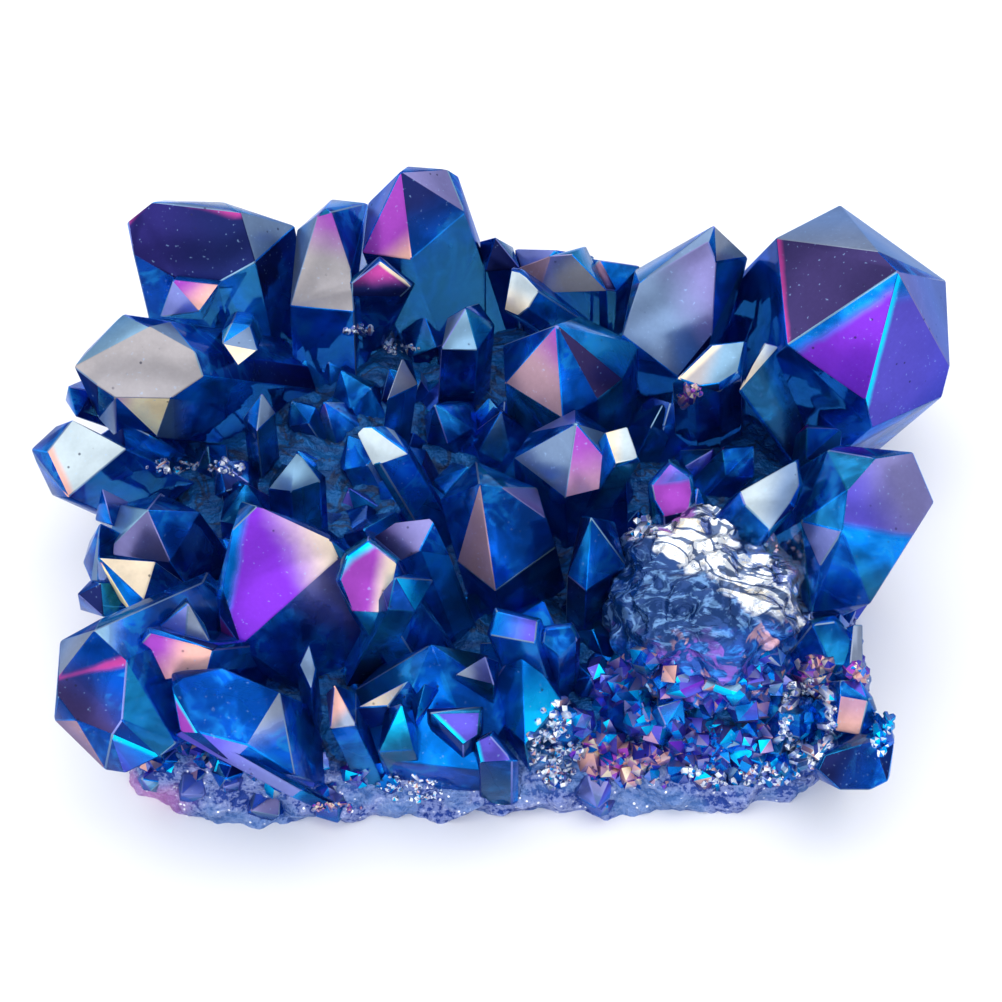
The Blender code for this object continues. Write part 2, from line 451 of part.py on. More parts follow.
def small_crystals(rng):
    """Hull points of the seeded small crystals: between the named ones, round the side and behind."""
    inverse = to_world().inverted()
    made = []
    tips = []
    for _ in range(FILL_COUNT):
        x, y = rng.uniform(-35, 35), rng.uniform(-27, 29)
        axis = Vector((x * 0.012 + rng.uniform(-0.4, 0.4), y * 0.012 + rng.uniform(-0.35, 0.35), 1)).normalized()
        apothem = rng.uniform(1.5, 3.1)
        tip = Vector((x, y, CRUST_HALF[2] + rng.uniform(1.0, 5.5) * (1.0 - 0.5 * max(0.0, -y / 27))))
        u, v, w = layout_of(tip, inverse)
        turn, share = rng.uniform(0, math.tau), rng.uniform(0.05, 0.3)
        crowded = any((tip - other).length < 2.6 for other in tips)
        if not crowded and not hides_named(u, v, w, apothem) and inside_outline(u, v, 0.5):
            tips.append(tip)
            made.append(grown_point(tip, axis, apothem, tip.z - 3.0, turn, share))
    for _ in range(RIM_COUNT):
        angle = rng.uniform(0, math.tau)
        unit = Vector((math.cos(angle), math.sin(angle), rng.uniform(0.15, 0.75))).normalized()
        base = crust_point(unit)
        tilt = Vector((rng.uniform(-0.5, 0.5), rng.uniform(-0.5, 0.5), rng.uniform(0, 0.8)))
        axis = (Vector((unit.x, unit.y, 0.25)) + tilt).normalized()
        apothem = rng.uniform(0.9, 1.9)
        tip = base + axis * apothem * rng.uniform(0.9, 1.6)
        u, v, w = layout_of(tip, inverse)
        if inside_outline(u, v, 0.3) and tip.z > 1.2:
            made.append(grown_point(tip, axis, apothem, 6.0, rng.uniform(0, math.tau), 0.2))
    for _ in range(BACK_COUNT):
        angle = rng.uniform(math.radians(25), math.radians(155))
        unit = Vector((math.cos(angle), math.sin(angle), rng.uniform(0.3, 0.95))).normalized()
        base = crust_point(unit)
        axis = (Vector((unit.x * 0.7, unit.y, 0.3 + unit.z * 0.8))
                + Vector((rng.uniform(-0.3, 0.3), rng.uniform(-0.2, 0.2), 0))).normalized()
        apothem = rng.uniform(2.0, 3.8)
        for reach in (9.0, 7.0, 5.0, 3.0):
            tip = base + axis * reach
            u, v, w = layout_of(tip, inverse)
            if inside_outline(u, v, 0.6 * apothem):
                made.append(grown_point(tip, axis, apothem, reach + 8.0, rng.uniform(0, math.tau), 0.2))
                break
    return made


def island_of(face, seen):
    """All faces joined to a face through edges, adding them to seen."""
    island, edge_of = [], [face]
    seen.add(face)
    while edge_of:
        current = edge_of.pop()
        island.append(current)
        for edge in current.edges:
            for other in edge.link_faces:
                if other not in seen:
                    seen.add(other)
                    edge_of.append(other)
    return island


def fill_pockets(obj):
    """Replaces the object's mesh by its outer skin, so that no pocket is sealed between crystals."""
    bpy.context.view_layer.update()
    evaluated = obj.evaluated_get(bpy.context.evaluated_depsgraph_get())
    mesh = bpy.data.meshes.new_from_object(evaluated)
    bm = bmesh.new()
    bm.from_mesh(mesh)
    seen = set()
    islands = [island_of(face, seen) for face in bm.faces if face not in seen]
    islands.sort(key=len, reverse=True)
    spare = [face for island in islands[1:] for face in island]
    bmesh.ops.delete(bm, geom=spare, context="FACES")
    bm.to_mesh(mesh)
    bm.free()
    obj.modifiers.clear()
    obj.data = mesh


def coated_quartz():
    """The one material of the solid: clear quartz under a thin blue metallic coating."""
    material = bpy.data.materials.new("coated_quartz")
    material.use_nodes = True
    shader = material.node_tree.nodes["Principled BSDF"]
    shader.inputs["Base Color"].default_value = (0.01, 0.10, 0.42, 1.0)
    shader.inputs["Metallic"].default_value = 0.35
    shader.inputs["Roughness"].default_value = 0.12
    shader.inputs["IOR"].default_value = 1.544
    return material


def main():
    """Builds the cluster."""
    for obj in list(bpy.data.objects):
        bpy.data.objects.remove(obj)
    scene = bpy.context.scene
    scene.unit_settings.scale_length = 1.0
    cluster = bpy.data.collections.new("quartz_cluster")
    pieces = bpy.data.collections.new("grown_pieces")
    scene.collection.children.link(cluster)
    scene.collection.children.link(pieces)
    material = coated_quartz()

    crust = bpy.data.objects.new("crystal_cluster", mound_mesh())
    crust.data.materials.append(material)
    cluster.objects.link(crust)

    druse = bpy.data.objects.new("druse", druse_mesh())
    druse.data.materials.append(material)
    druse.hide_render = True
    druse.display_type = "WIRE"
    pieces.objects.link(druse)

    turn = to_world()
    for spec in CRYSTALS:
        add_hull(spec["name"], [turn @ point for point in crystal_points(spec)], material, pieces)
    for number, points in enumerate(small_crystals(random.Random(SEED))):
        add_hull(f"small_{number:03d}", points, material, pieces)

    union = crust.modifiers.new("grown_together", "BOOLEAN")
    union.operation = "UNION"
    union.solver = "EXACT"
    union.operand_type = "COLLECTION"
    union.collection = pieces

    floor_mesh = bpy.data.meshes.new("floor_cut")
    bm = bmesh.new()
    bmesh.ops.create_cube(bm, size=1.0, matrix=Matrix.Diagonal((0.3, 0.3, 0.06, 1.0)))
    bmesh.ops.translate(bm, verts=bm.verts[:], vec=(0.0, 0.0, -0.03))
    bm.to_mesh(floor_mesh)
    bm.free()
    floor = bpy.data.objects.new("floor_cut", floor_mesh)
    floor.hide_render = True
    floor.display_type = "WIRE"
    cutters = bpy.data.collections.new("cutters")
    scene.collection.children.link(cutters)
    cutters.objects.link(floor)
    cut = crust.modifiers.new("flat_cut", "BOOLEAN")
    cut.operation = "DIFFERENCE"
    cut.solver = "EXACT"
    cut.object = floor
    fill_pockets(crust)


main()
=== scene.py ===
"""Coated quartz cluster: fine surface, film colours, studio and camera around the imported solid.

Frame: metres, +Z up, the flat cut on Z = 0. The crystals are laid out in the growth frame, in
millimetres: u across, v up the slope, w out of the slope. A layout position (u, v) says where a
point falls on the plane w = 0 as seen from the frame's eye.
"""

import json
import logging
import math
import random
from collections.abc import Mapping, Sequence
from dataclasses import dataclass
from enum import Enum, IntEnum
from typing import Any

import bmesh
import bpy
import numpy as np
from bmesh.types import BMesh, BMFace, BMVert
from bpy.types import ID, Collection, Material, Mesh, Node, NodeSocket, NodeTree, Object
from mathutils import Matrix, Vector, noise
from mathutils.bvhtree import BVHTree

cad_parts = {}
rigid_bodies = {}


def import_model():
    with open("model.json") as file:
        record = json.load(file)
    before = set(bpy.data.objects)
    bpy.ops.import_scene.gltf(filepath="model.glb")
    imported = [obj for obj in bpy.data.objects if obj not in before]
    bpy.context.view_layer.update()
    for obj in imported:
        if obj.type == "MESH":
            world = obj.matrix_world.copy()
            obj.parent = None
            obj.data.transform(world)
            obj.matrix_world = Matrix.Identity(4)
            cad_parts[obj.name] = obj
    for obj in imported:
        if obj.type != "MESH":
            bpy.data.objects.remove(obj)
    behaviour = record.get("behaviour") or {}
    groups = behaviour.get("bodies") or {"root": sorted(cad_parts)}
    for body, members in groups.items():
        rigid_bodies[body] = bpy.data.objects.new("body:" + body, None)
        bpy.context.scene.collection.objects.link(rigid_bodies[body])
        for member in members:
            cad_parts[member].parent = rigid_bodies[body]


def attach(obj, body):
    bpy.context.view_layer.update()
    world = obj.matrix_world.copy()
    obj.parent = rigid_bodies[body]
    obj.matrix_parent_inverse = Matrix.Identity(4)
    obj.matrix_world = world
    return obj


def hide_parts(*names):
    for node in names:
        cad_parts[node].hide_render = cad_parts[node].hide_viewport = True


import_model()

NODE = "crystal_cluster"
BODY = "root"
MM = 0.001
SEED = 11
HEX_SIDES = 6

Spot = tuple[float, float]
Span = tuple[float, float]
Triple = tuple[float, float, float]
Tone = tuple[float, float, float, float]
Corners = list[Vector]
log = logging.getLogger("quartz_cluster")


class Film(Enum):
    """Tones of the vapour film: red, green and blue of its reflection, and how much it covers."""

    BUTTER = (1.00, 0.80, 0.44, 0.97)
    FROST = (0.88, 0.92, 0.96, 0.95)
    WHITE = (0.44, 0.52, 0.56, 0.95)
    SILVER = (0.14, 0.21, 0.34, 0.90)
    GREY = (0.20, 0.24, 0.33, 0.90)
    STEEL = (0.17, 0.30, 0.43, 0.85)
    LILAC = (0.15, 0.18, 0.46, 0.88)
    BEIGE = (0.32, 0.30, 0.31, 0.93)
    ROSE = (0.31, 0.20, 0.25, 0.92)
    MAUVE = (0.18, 0.17, 0.37, 0.88)
    CREAM = (0.76, 0.63, 0.46, 0.95)
    PEACH = (0.68, 0.37, 0.32, 0.95)
    SALMON = (0.45, 0.25, 0.35, 0.93)
    RUBY = (0.38, 0.045, 0.24, 0.90)
    MAGENTA = (0.28, 0.050, 0.38, 0.94)
    ORCHID = (0.18, 0.030, 0.52, 0.94)
    VIOLET = (0.085, 0.070, 0.44, 0.88)
    PLUM = (0.040, 0.030, 0.110, 0.86)
    DUSK = (0.020, 0.017, 0.115, 0.88)
    INK = (0.010, 0.016, 0.085, 0.85)
    NAVY = (0.002, 0.052, 0.34, 0.62)
    COBALT = (0.002, 0.100, 0.60, 0.50)
    BLUE = (0.002, 0.22, 0.85, 0.62)
    TEAL = (0.012, 0.25, 0.54, 0.45)
    CYAN = (0.004, 0.60, 1.00, 0.85)


(BUTTER, FROST, WHITE, SILVER, GREY, STEEL, LILAC, BEIGE, ROSE, MAUVE, CREAM, PEACH, SALMON, RUBY,
 MAGENTA, ORCHID, VIOLET, PLUM, DUSK, INK, NAVY, COBALT, BLUE, TEAL, CYAN) = Film
BARE: Tone = (0.0, 0.0, 0.0, 0.0)
Mixture = Mapping[Film, int]


class Finish(IntEnum):
    """The material slots of the joined mesh."""

    QUARTZ = 0
    CRUST = 1
    FOIL = 2
    CUT = 3


@dataclass(frozen=True)
class Paint:
    """The film on one crystal face.

    at: layout position inside the face. fade: the tone that the film turns to along run, two layout
    positions. rim: the tone beside edge, a layout line, reaching width millimetres into the face.
    """

    at: Spot
    film: Film
    fade: Film | None = None
    run: tuple[Spot, Spot] | None = None
    rim: Film | None = None
    edge: tuple[Spot, Spot] | None = None
    width: float = 0.8


@dataclass(frozen=True)
class Crystal:
    """One named crystal, by its point, its shoulder corners and the film on its faces.

    tip: layout position of the point. rise: its height above the crust, mm. lean: tilt from w and
    azimuth of the axis, degrees. point: depth of the ring of corners below the tip. ring: corners
    (u, v), or (u, v, w from the tip). face: (tilt, azimuth, depth, corners) of one overgrown face.
    on: (a, b, corners) more corners in the plane of the tip and ring corners a and b. length: how
    far the prism reaches back. flare: how far a prism spreads below its overgrown face.
    """

    name: str
    tip: Spot
    rise: float
    lean: Spot
    point: float = 5.0
    ring: tuple = ()
    face: tuple | None = None
    on: tuple = ()
    length: float = 14.0
    flare: float = 0.0
    paints: tuple[Paint, ...] = ()


CRYSTALS = (
    Crystal("giant", (39.7, 23), 20, (30, 46), 10.5, length=30,
        ring=((27.5, 26.3), (28.6, 15.6), (36.4, 10.2), (44.9, 13.5), (44.5, 22), (33.9, 29.6)),
        on=((2, 3, ((37.1, 7.3), (44.1, 10.4))), (0, 1, ((37.7, 25),))),
        paints=(Paint((31.6, 26.9), GREY), Paint((40.4, 24.6), GREY),
            Paint((32.9, 21.1), PLUM, rim=RUBY, edge=((27.7, 26), (28.4, 15.8))),
            Paint((34.9, 16.3), ORCHID, rim=BLUE, edge=((28.6, 15.8), (39.7, 23)), width=2.2),
            Paint((40.7, 15.1), BLUE, VIOLET, ((39.7, 22), (40.2, 19.5)),
                rim=CYAN, edge=((39.7, 23), (36.4, 10.2)), width=0.7), Paint((43.6, 19.1), MAUVE),
            Paint((26.3, 20.1), COBALT), Paint((29.9, 9.1), COBALT, NAVY, ((34, 11), (26, 7))))),
    Crystal("tall", (21.3, 27.6), 16, (42, 80), 6, length=26,
        face=(14, 235, 0.8, ((20.7, 25.9), (21.5, 23.9), (21.1, 16.6), (17.7, 12.4), (12.1, 16.6),
            (13.9, 21.9))),
        ring=((16.7, 24.7, -4), (13.4, 23.1, -6), (24.7, 24.4, -5)),
        paints=(Paint((18.4, 25.1), SILVER), Paint((17, 19.5), SILVER, MAUVE, ((16.5, 18), (21.4, 20.5))),
            Paint((22.6, 25.1), GREY), Paint((23.2, 20.1), TEAL))),
    Crystal("spire", (-10.1, 32.9), 14, (45, 110), 6, length=30,
        ring=((-3.6, 28.8), (-9, 24.2), (-13.9, 24.9), (-13.3, 29.8, -4), (-9.3, 33.5, -2),
            (-5.4, 33.2, -4), (-4.3, 32.5, -5)),
        paints=(Paint((-5.6, 31.6), MAUVE), Paint((-7.6, 28.9), INK, COBALT, ((-8.5, 30.5), (-5, 25))),
            Paint((-11.5, 26.6), MAGENTA, PEACH, ((-11, 26.5), (-9.4, 24.4))), Paint((-12.6, 28.6), LILAC),
            Paint((-4.1, 23.6), NAVY, COBALT, ((-4.5, 26), (-5, 19))))),
    Crystal("rose_wedge", (-17.5, 29.3), 12, (50, 90), 5.5, length=26,
        face=(8, 250, 0.5, ((-18.4, 28.5), (-17, 28.9), (-15, 22.9), (-14.7, 18.9), (-21.1, 19.5))),
        ring=((-20.4, 27.1, -4), (-16.9, 30.2, -4), (-13.3, 29.8, -7), (-14.4, 27.5, -5)),
        paints=(Paint((-17.6, 23), MAGENTA, BEIGE, ((-16.6, 28.8), (-18, 24))), Paint((-20, 25), SILVER),
            Paint((-15.2, 29), STEEL), Paint((-15.4, 26.5), NAVY), Paint((-16.1, 16.6), COBALT))),
    Crystal("corner", (-31, 29.8), 11, (55, 100), length=26,
        face=(8, 275, 0.3, ((-37.3, 27.9), (-34.8, 29.9), (-26.1, 28.9), (-24.6, 23.9), (-28.4, 21.8),
            (-32.3, 22.2), (-36.8, 24.8))),
        ring=((-33.8, 30.1, -3), (-27.8, 29.9, -3), (-20.6, 27.5, -5), (-23.3, 23.9, -4),
            (-37.4, 27.8, -2)),
        paints=(
            Paint((-31, 26), DUSK, INK, ((-36, 27), (-27, 25)),
                rim=RUBY, edge=((-37.3, 28.4), (-26, 29.2)), width=1.1), Paint((-30.1, 29.6), SILVER),
            Paint((-23.3, 26.1), SILVER), Paint((-34.6, 20.4), NAVY))),
    Crystal("left_big", (-42.7, 13.4), 10, (36, 175), 6, length=18,
        face=(10, 40, 0, ((-40.9, 13.3), (-35.1, 17.4), (-30.6, 14.9), (-29.8, 12.5), (-33, 10.3),
            (-38.6, 10.4), (-40.4, 11.6))),
        ring=((-42.7, 13.4, 0), (-41.6, 14.9, -2.5), (-37.8, 18.7, -4), (-33, 17.9, -4.5),
            (-30.2, 14, -3.5), (-40.3, 8.3, -5), (-38.5, 6.3, -6.5), (-34.4, 6.4, -5), (-31.3, 9.5, -4)),
        paints=(Paint((-38.9, 16.3), STEEL), Paint((-35.1, 13.9), BEIGE), Paint((-32.9, 16.7), SILVER),
            Paint((-39.3, 8.9), GREY), Paint((-35.5, 9), MAGENTA, BUTTER, ((-39.8, 10.5), (-36.4, 9.2))),
            Paint((-32.3, 9.2), STEEL, COBALT, ((-33.4, 9.2), (-30.8, 9.2))), Paint((-41.7, 12.4), INK))),
    Crystal("far_left", (-45.4, 4.9), 7, (28, 150), 4,
        face=(13, 120, 0, ((-42.9, 8.1), (-37.5, 5.2), (-43.3, 0.4), (-45.4, 4.9))),
        ring=((-47, 5.2, -2.5), (-46.5, 3.9, -3), (-44.9, 0.6, -3.5), (-44.5, 7.5, -2)),
        paints=(Paint((-41.6, 4.6), WHITE, rim=PEACH, edge=((-45.4, 4.9), (-43.3, 0.4)), width=1),
            Paint((-45.5, 3.1), GREY), Paint((-40.1, 1), COBALT))),
    Crystal("rose_mid", (5.5, 17.6), 12, (40, 95), 6.3, length=26,
        ring=((0.2, 15.6), (0.4, 11.8), (6.2, 8.2), (9.6, 10.1), (12.1, 12.1), (13.9, 15.6), (8, 18.5)),
        paints=(Paint((4.4, 12.3), ROSE, MAGENTA, ((3.8, 12.6), (7.6, 15.6))), Paint((7.4, 12.1), COBALT),
            Paint((9.9, 13.6), PLUM), Paint((1.9, 15.1), COBALT))),
    Crystal("silver_pink", (7.5, 7.8), 12, (35, 95), 6, length=24,
        ring=((1.2, 4.3), (6.4, 0.3), (12.6, 1.8), (11.4, 6.6), (7.5, 9.2), (2.9, 6.8)),
        paints=(Paint((4.9, 4.6), SILVER), Paint((8.9, 3.5), MAGENTA, SALMON, ((8, 6.5), (9.4, 0.8))),
            Paint((10.4, 5.5), STEEL), Paint((4.4, 7.3), LILAC))),
    Crystal("magenta_big", (-25, -1), 13, (50, 140), 6, length=24,
        face=(8, 300, 0, ((-26.9, -2.9), (-24.4, -0.5), (-17.1, -3.9), (-16.3, -5.7), (-26.1, -14.4),
            (-27.9, -8.9))),
        ring=((-28.5, -8.9, -1.5), (-28.2, -11.4, -2), (-27.9, -14.4, -4), (-26, 0, -3), (-17, -3, -3)),
        paints=(
            Paint((-22.6, -6.9), ORCHID, CREAM, ((-22.5, -7.4), (-15.8, -4.8)),
                rim=BLUE, edge=((-26.6, -2), (-27.9, -9.4)), width=1.6), Paint((-27.5, -12.9), RUBY),
            Paint((-20.1, -13), NAVY, MAUVE, ((-20.6, -12.5), (-17, -7.5))))),
    Crystal("magenta_small", (-13.6, -4), 12, (50, 120), 4, length=20, flare=0.5,
        face=(5, 300, 0, ((-13.3, -4), (-10.5, -6.1), (-11.5, -11.1), (-14.9, -10.9), (-16.1, -7.9),
            (-15.4, -5.5))),
        paints=(
            Paint((-13.3, -7.9), MAGENTA, CREAM, ((-13.2, -7.6), (-10.9, -8)),
                rim=CYAN, edge=((-16, -6.4), (-13, -3.9)), width=1.2),)),
    Crystal("cyan_shard", (-10.6, -7.6), 12, (40, 60), 3, length=16,
        ring=((-11.8, -9), (-11.3, -10.9), (-8.6, -11.1), (-6.7, -7.9), (-9, -7.2)),
        paints=(Paint((-9.4, -9.3), CYAN, BLUE, ((-11, -10), (-7, -8))),)),
    Crystal("plum", (-10.6, -2.1), 11, (50, 110), 4, length=18,
        face=(15, 290, 0, ((-12.8, -3.6), (-10.6, -2.1), (-7.1, -1.7), (-6.7, -2.1), (-8.1, -4.9),
            (-10.1, -5.9))),
        ring=((-5.1, -5.4, -3),),
        paints=(Paint((-9.6, -3.6), PLUM, MAUVE, ((-12, -4), (-7, -2.5))), Paint((-6.7, -3.9), NAVY))),
    Crystal("navy_mid", (-2.2, 1.7), 12, (30, 105), 7.5, length=24,
        ring=((-6.1, 0.1), (-4.4, -6), (-0.6, -9), (5.5, -4.6), (3.6, 1.3), (-2.5, 4)),
        on=((2, 3, ((4.4, -1.6), (0.1, 1.4))),),
        paints=(Paint((1.4, -2.9), NAVY, COBALT, ((-1, 0), (4, -5))), Paint((2, 0.6), MAUVE),
            Paint((-2.3, -5.4), ROSE), Paint((-4.1, -2.9), COBALT))),
    Crystal("right_block", (34.1, -3), 12, (15, 40), 6, length=24,
        face=(22, 15, 0, ((34.1, -3), (34.6, 1.1), (37.4, 4.3), (41.2, 4.9), (43.3, -0.1), (40.7, -4.1))),
        ring=((36.9, -10.3, -4), (31.1, -11.1, -5), (31.9, -6.4, -2.5), (32.7, 5.1, -5), (33.9, 5.6, -6),
            (30, -2, -4)),
        paints=(
            Paint((37.9, 0.3), VIOLET, MAUVE, ((35.5, -1), (40.5, 1.5)),
                rim=BLUE, edge=((34.1, -3.2), (40.7, -4.4)), width=1.4),
            Paint((37.6, -6), BLUE, TEAL, ((38.5, -4.5), (36.5, -9))), Paint((33.9, -7.9), COBALT),
            Paint((32.4, -5), LILAC), Paint((35.9, 3.9), TEAL))),
    Crystal("low_left", (-44.3, -18.5), 8, (34, 205), length=17,
        face=(10, 250, 0, ((-40.6, -12.9), (-37.4, -15.9), (-37.9, -21.9), (-38.9, -23.4), (-42.6, -21.9),
            (-44.3, -19.6), (-44.3, -17.7))),
        ring=((-44.1, -14, -2.5), (-39.9, -11.7, -2.5), (-37.5, -14.3, -2), (-44.7, -21.9, -3),
            (-39.6, -26.9, -4.5), (-37.6, -27.2, -4.5), (-34.1, -25.5, -3.5), (-32.5, -24.2, -4),
            (-34.6, -21.7, -3.5)),
        paints=(Paint((-42.3, -13.9), GREY),
            Paint((-39.1, -13.7), STEEL, COBALT, ((-40, -13.7), (-37, -13.7))),
            Paint((-40.6, -19), NAVY, PLUM, ((-39, -17), (-42.5, -21)),
                rim=RUBY, edge=((-44.3, -17.2), (-37.4, -15.9)), width=0.9), Paint((-42.9, -22.9), ROSE),
            Paint((-38.1, -24.9), VIOLET, BLUE, ((-39, -26), (-36, -24)),
                rim=CYAN, edge=((-42.6, -21.9), (-34.2, -25.4)), width=0.6), Paint((-36, -22.6), COBALT),
            Paint((-36.6, -17.9), TEAL))),
    Crystal("low_blue", (-32.9, -18.7), 7, (20, 145), length=10,
        face=(15, 290, 0, ((-32.9, -18.7), (-31.9, -17.7), (-27.9, -16.7), (-22.1, -19.2), (-25.3, -24.4),
            (-30.3, -23.1))),
        ring=((-32.1, -23, -1.5), (-27.1, -26.1, -2.5), (-20.6, -27.4, -4), (-22, -22.5, -3.5),
            (-33, -17, -3)),
        paints=(Paint((-27.1, -20.4), NAVY, COBALT, ((-30, -22), (-25, -19))),
            Paint((-31.8, -20.9), MAGENTA, rim=CYAN, edge=((-32.8, -18.9), (-30.3, -23)), width=0.5),
            Paint((-26.5, -25), VIOLET, LILAC, ((-30, -24), (-23, -26.5))),
            Paint((-22.8, -23), GREY, COBALT, ((-23.4, -21.2), (-21.6, -24.6))))),
    Crystal("ledge", (-32.6, -23.4), 2, (50, 150), 3, length=4, flare=0.4,
        face=(20, 240, 0, ((-32.6, -23.4), (-31.1, -22.7), (-20.1, -28.9), (-21, -29.6))),
        paints=(Paint((-26.5, -26), VIOLET, LILAC, ((-31, -23.5), (-22, -28.5))),)),
    Crystal("back_tan", (4.9, 24.5), 8, (45, 95), 4, length=20,
        ring=((1.7, 23.3), (3.8, 20.9), (10.6, 21.1), (8.5, 25.5, -4)),
        on=((1, 2, ((7.1, 24.7),)),),
        paints=(Paint((6.9, 22.6), BEIGE, MAUVE, ((6.5, 22), (4.8, 24.4))), Paint((3.6, 22.6), ROSE),
            Paint((8.3, 19.8), COBALT))),
    Crystal("cream_nub", (1.2, 23.1), 8, (45, 150), 3, length=10, flare=0.3,
        face=(20, 200, 0, ((1, 23.1), (1.9, 22.9), (3.7, 21), (2.7, 19.3), (1.7, 18.5), (0.3, 19.1))),
        paints=(Paint((1.8, 20.8), CREAM, WHITE, ((1, 19), (2.4, 21.6))),)),
    Crystal("cream_rim", (21.1, 15.6), 12, (24, 100), 3, length=18, flare=0.5,
        face=(20, 80, 0, ((17.7, 12.3), (21.1, 15.6), (24.4, 16), (23.7, 12.9), (21.9, 11.8),
            (19.9, 11.5))),
        paints=(
            Paint((21.6, 13.6), STEEL, BEIGE, ((22, 13.2), (20, 13.9)),
                rim=CREAM, edge=((17.7, 12.3), (21.1, 15.6)), width=0.9),)),
    Crystal("light_face", (29.6, 4.1), 14, (50, 50), 4, flare=0.6,
        face=(15, 100, 0, ((29.5, 4.1), (29.8, 1.6), (28.9, -0.1), (26.9, -2.8), (24.4, -0.4),
            (23.9, 0.9))),
        paints=(Paint((27.4, 0.8), SILVER, WHITE, ((28.5, 0), (25, 0.6))),)),
    Crystal("hexagon", (16.9, 3.8), 11, (45, 95), 3, length=16, flare=0.4,
        face=(5, 280, 0, ((16.9, 3.8), (18.9, 2.4), (19.1, 0.9), (18.8, -0.9), (16.3, -1.5), (15.4, 0),
            (15.1, 1.6))),
        paints=(Paint((17.1, 0.9), MAGENTA, rim=BLUE, edge=((15.3, 2.6), (19, 2.9)), width=1.2),)),
    Crystal("grey_left", (-35.4, -0.9), 9, (40, 120), 4.5, length=18,
        ring=((-38.3, -0.4), (-39.7, -5.2), (-33.1, -6.1), (-30.1, -1.1), (-34, 0.8)),
        paints=(Paint((-37.8, -2.4), STEEL), Paint((-35.9, -4.4), MAUVE), Paint((-32.6, -2.6), COBALT))),
    Crystal("grey_edge", (-40.1, -2.2), 7, (45, 150), 4, length=16,
        ring=((-39, -2.7), (-40.3, -8), (-41, -8.1), (-41.8, -6.2), (-41.1, -3.9)),
        paints=(Paint((-40.3, -4.9), SILVER),)),
    Crystal("cream_left", (-40.4, -5.6), 8, (45, 140), 4, length=16,
        ring=((-34.6, -6), (-35.8, -9.9), (-37, -11.1), (-38.2, -9.9), (-40.3, -7.7)),
        paints=(Paint((-39.3, -7.4), BUTTER, rim=MAGENTA, edge=((-40.5, -5.6), (-40.4, -7.8))),
            Paint((-37, -8.4), GREY), Paint((-37, -6.3), CREAM))),
    Crystal("grey_pyramid", (-31.3, -10.2), 11, (35, 95), 3.5, length=18,
        ring=((-34.9, -13.1), (-31.6, -14.7), (-28.8, -14.7), (-29.6, -12.4), (-31.5, -9.6)),
        paints=(Paint((-32.3, -12.9), LILAC), Paint((-30.6, -13.1), GREY))),
    Crystal("peach_ledge", (-36.1, -14.4), 9, (20, 180), 3, length=12, flare=0.4,
        face=(25, 270, 0, ((-36.1, -14.4), (-35.1, -13.3), (-28.8, -14.9), (-29.4, -17.2), (-34.1, -18))),
        paints=(Paint((-32.6, -15.9), MAGENTA, PEACH, ((-34.8, -15), (-31.5, -16.6))),)),
    Crystal("peach_point", (-30.1, 19), 8, (10, 270), 3, length=16,
        ring=((-32.8, 22.1, -1), (-28.2, 21.6, -1.5), (-29.8, 18.1, -2), (-34.1, 18.4, -2.5)),
        paints=(Paint((-31.9, 19.5), LILAC),
            Paint((-30.4, 20.9), MAGENTA, PEACH, ((-32, 22), (-29.8, 19.6))))),
    Crystal("small_cap", (-26.3, 13.5), 8, (10, 280), 3,
        ring=((-27.9, 15.8, -1), (-24.3, 15.1, -1), (-27.9, 17.1, -2.5), (-26.9, 17.9, -3),
            (-25.1, 17.6, -3)),
        paints=(Paint((-26.4, 16.7), SILVER), Paint((-26.2, 14.8), CREAM))),
    Crystal("grey_chip", (-23.9, 10.9), 7, (35, 90), 2,
        ring=((-25.8, 8.3), (-24.4, 7), (-22.5, 8.8)),
        paints=(Paint((-24.1, 9.3), STEEL), Paint((-23.6, 8.6), SILVER))),
    Crystal("blue_grey", (-20.4, 4.9), 8, (45, 90), 3, length=16,
        ring=((-23.3, 1.2), (-21, 0.9), (-18.1, 1.9), (-17.5, 2.5)),
        paints=(Paint((-21.4, 2.2), STEEL), Paint((-19.8, 2.4), STEEL))),
    Crystal("white_mid", (-14.4, 6.8), 10, (50, 120), 3, length=16,
        face=(15, 80, 0, ((-14.4, 6.8), (-13.8, 7.4), (-12.9, 7.4), (-9.3, 4.8), (-12.1, 3.8), (-12.8, 3.6),
            (-13.5, 5.6))),
        ring=((-11.8, 7.6, -1), (-10.6, 7.1, -1.2), (-9.4, 5.9, -1.5)),
        paints=(Paint((-12.4, 5.5), WHITE), Paint((-10.8, 6.5), SILVER))),
    Crystal("white_chip", (-9.9, 14.3), 9, (45, 80), 2.5,
        ring=((-11.4, 10.1), (-9.6, 12), (-8.3, 11.6), (-8.9, 14)),
        paints=(Paint((-10.2, 12.4), WHITE), Paint((-9.2, 12.6), GREY))),
    Crystal("grey_mid", (-3.5, 19.4), 9, (40, 85), 3, length=16,
        ring=((-5.4, 18.3), (-6, 15.2), (-2.3, 15.1), (-0.6, 17.6), (-2.2, 19.8)),
        paints=(Paint((-4.6, 17.6), SILVER), Paint((-3.6, 16.3), STEEL), Paint((-2, 17.8), TEAL))),
    Crystal("knob", (-0.6, 26.4), 6, (45, 90), 3,
        ring=((-2.1, 26), (-1.6, 23), (1.9, 23.3), (1.2, 25.4)),
        paints=(Paint((-0.4, 24.6), INK),)),
    Crystal("rim_a", (5.5, 25.1), 5, (40, 90), 2.5,
        ring=((1.4, 25.2, -3), (2.5, 22), (8, 22), (9.3, 24.5, -3)),
        paints=(Paint((4.9, 25), LILAC),)),
    Crystal("rim_b", (9.8, 24.1), 5, (40, 90), 2.5,
        ring=((7, 24.5, -3), (7.5, 21.5), (11.5, 21), (13.9, 23.5, -3)),
        paints=(Paint((9.8, 23), SALMON, INK, ((8.5, 23.2), (11.5, 22.6))),)),
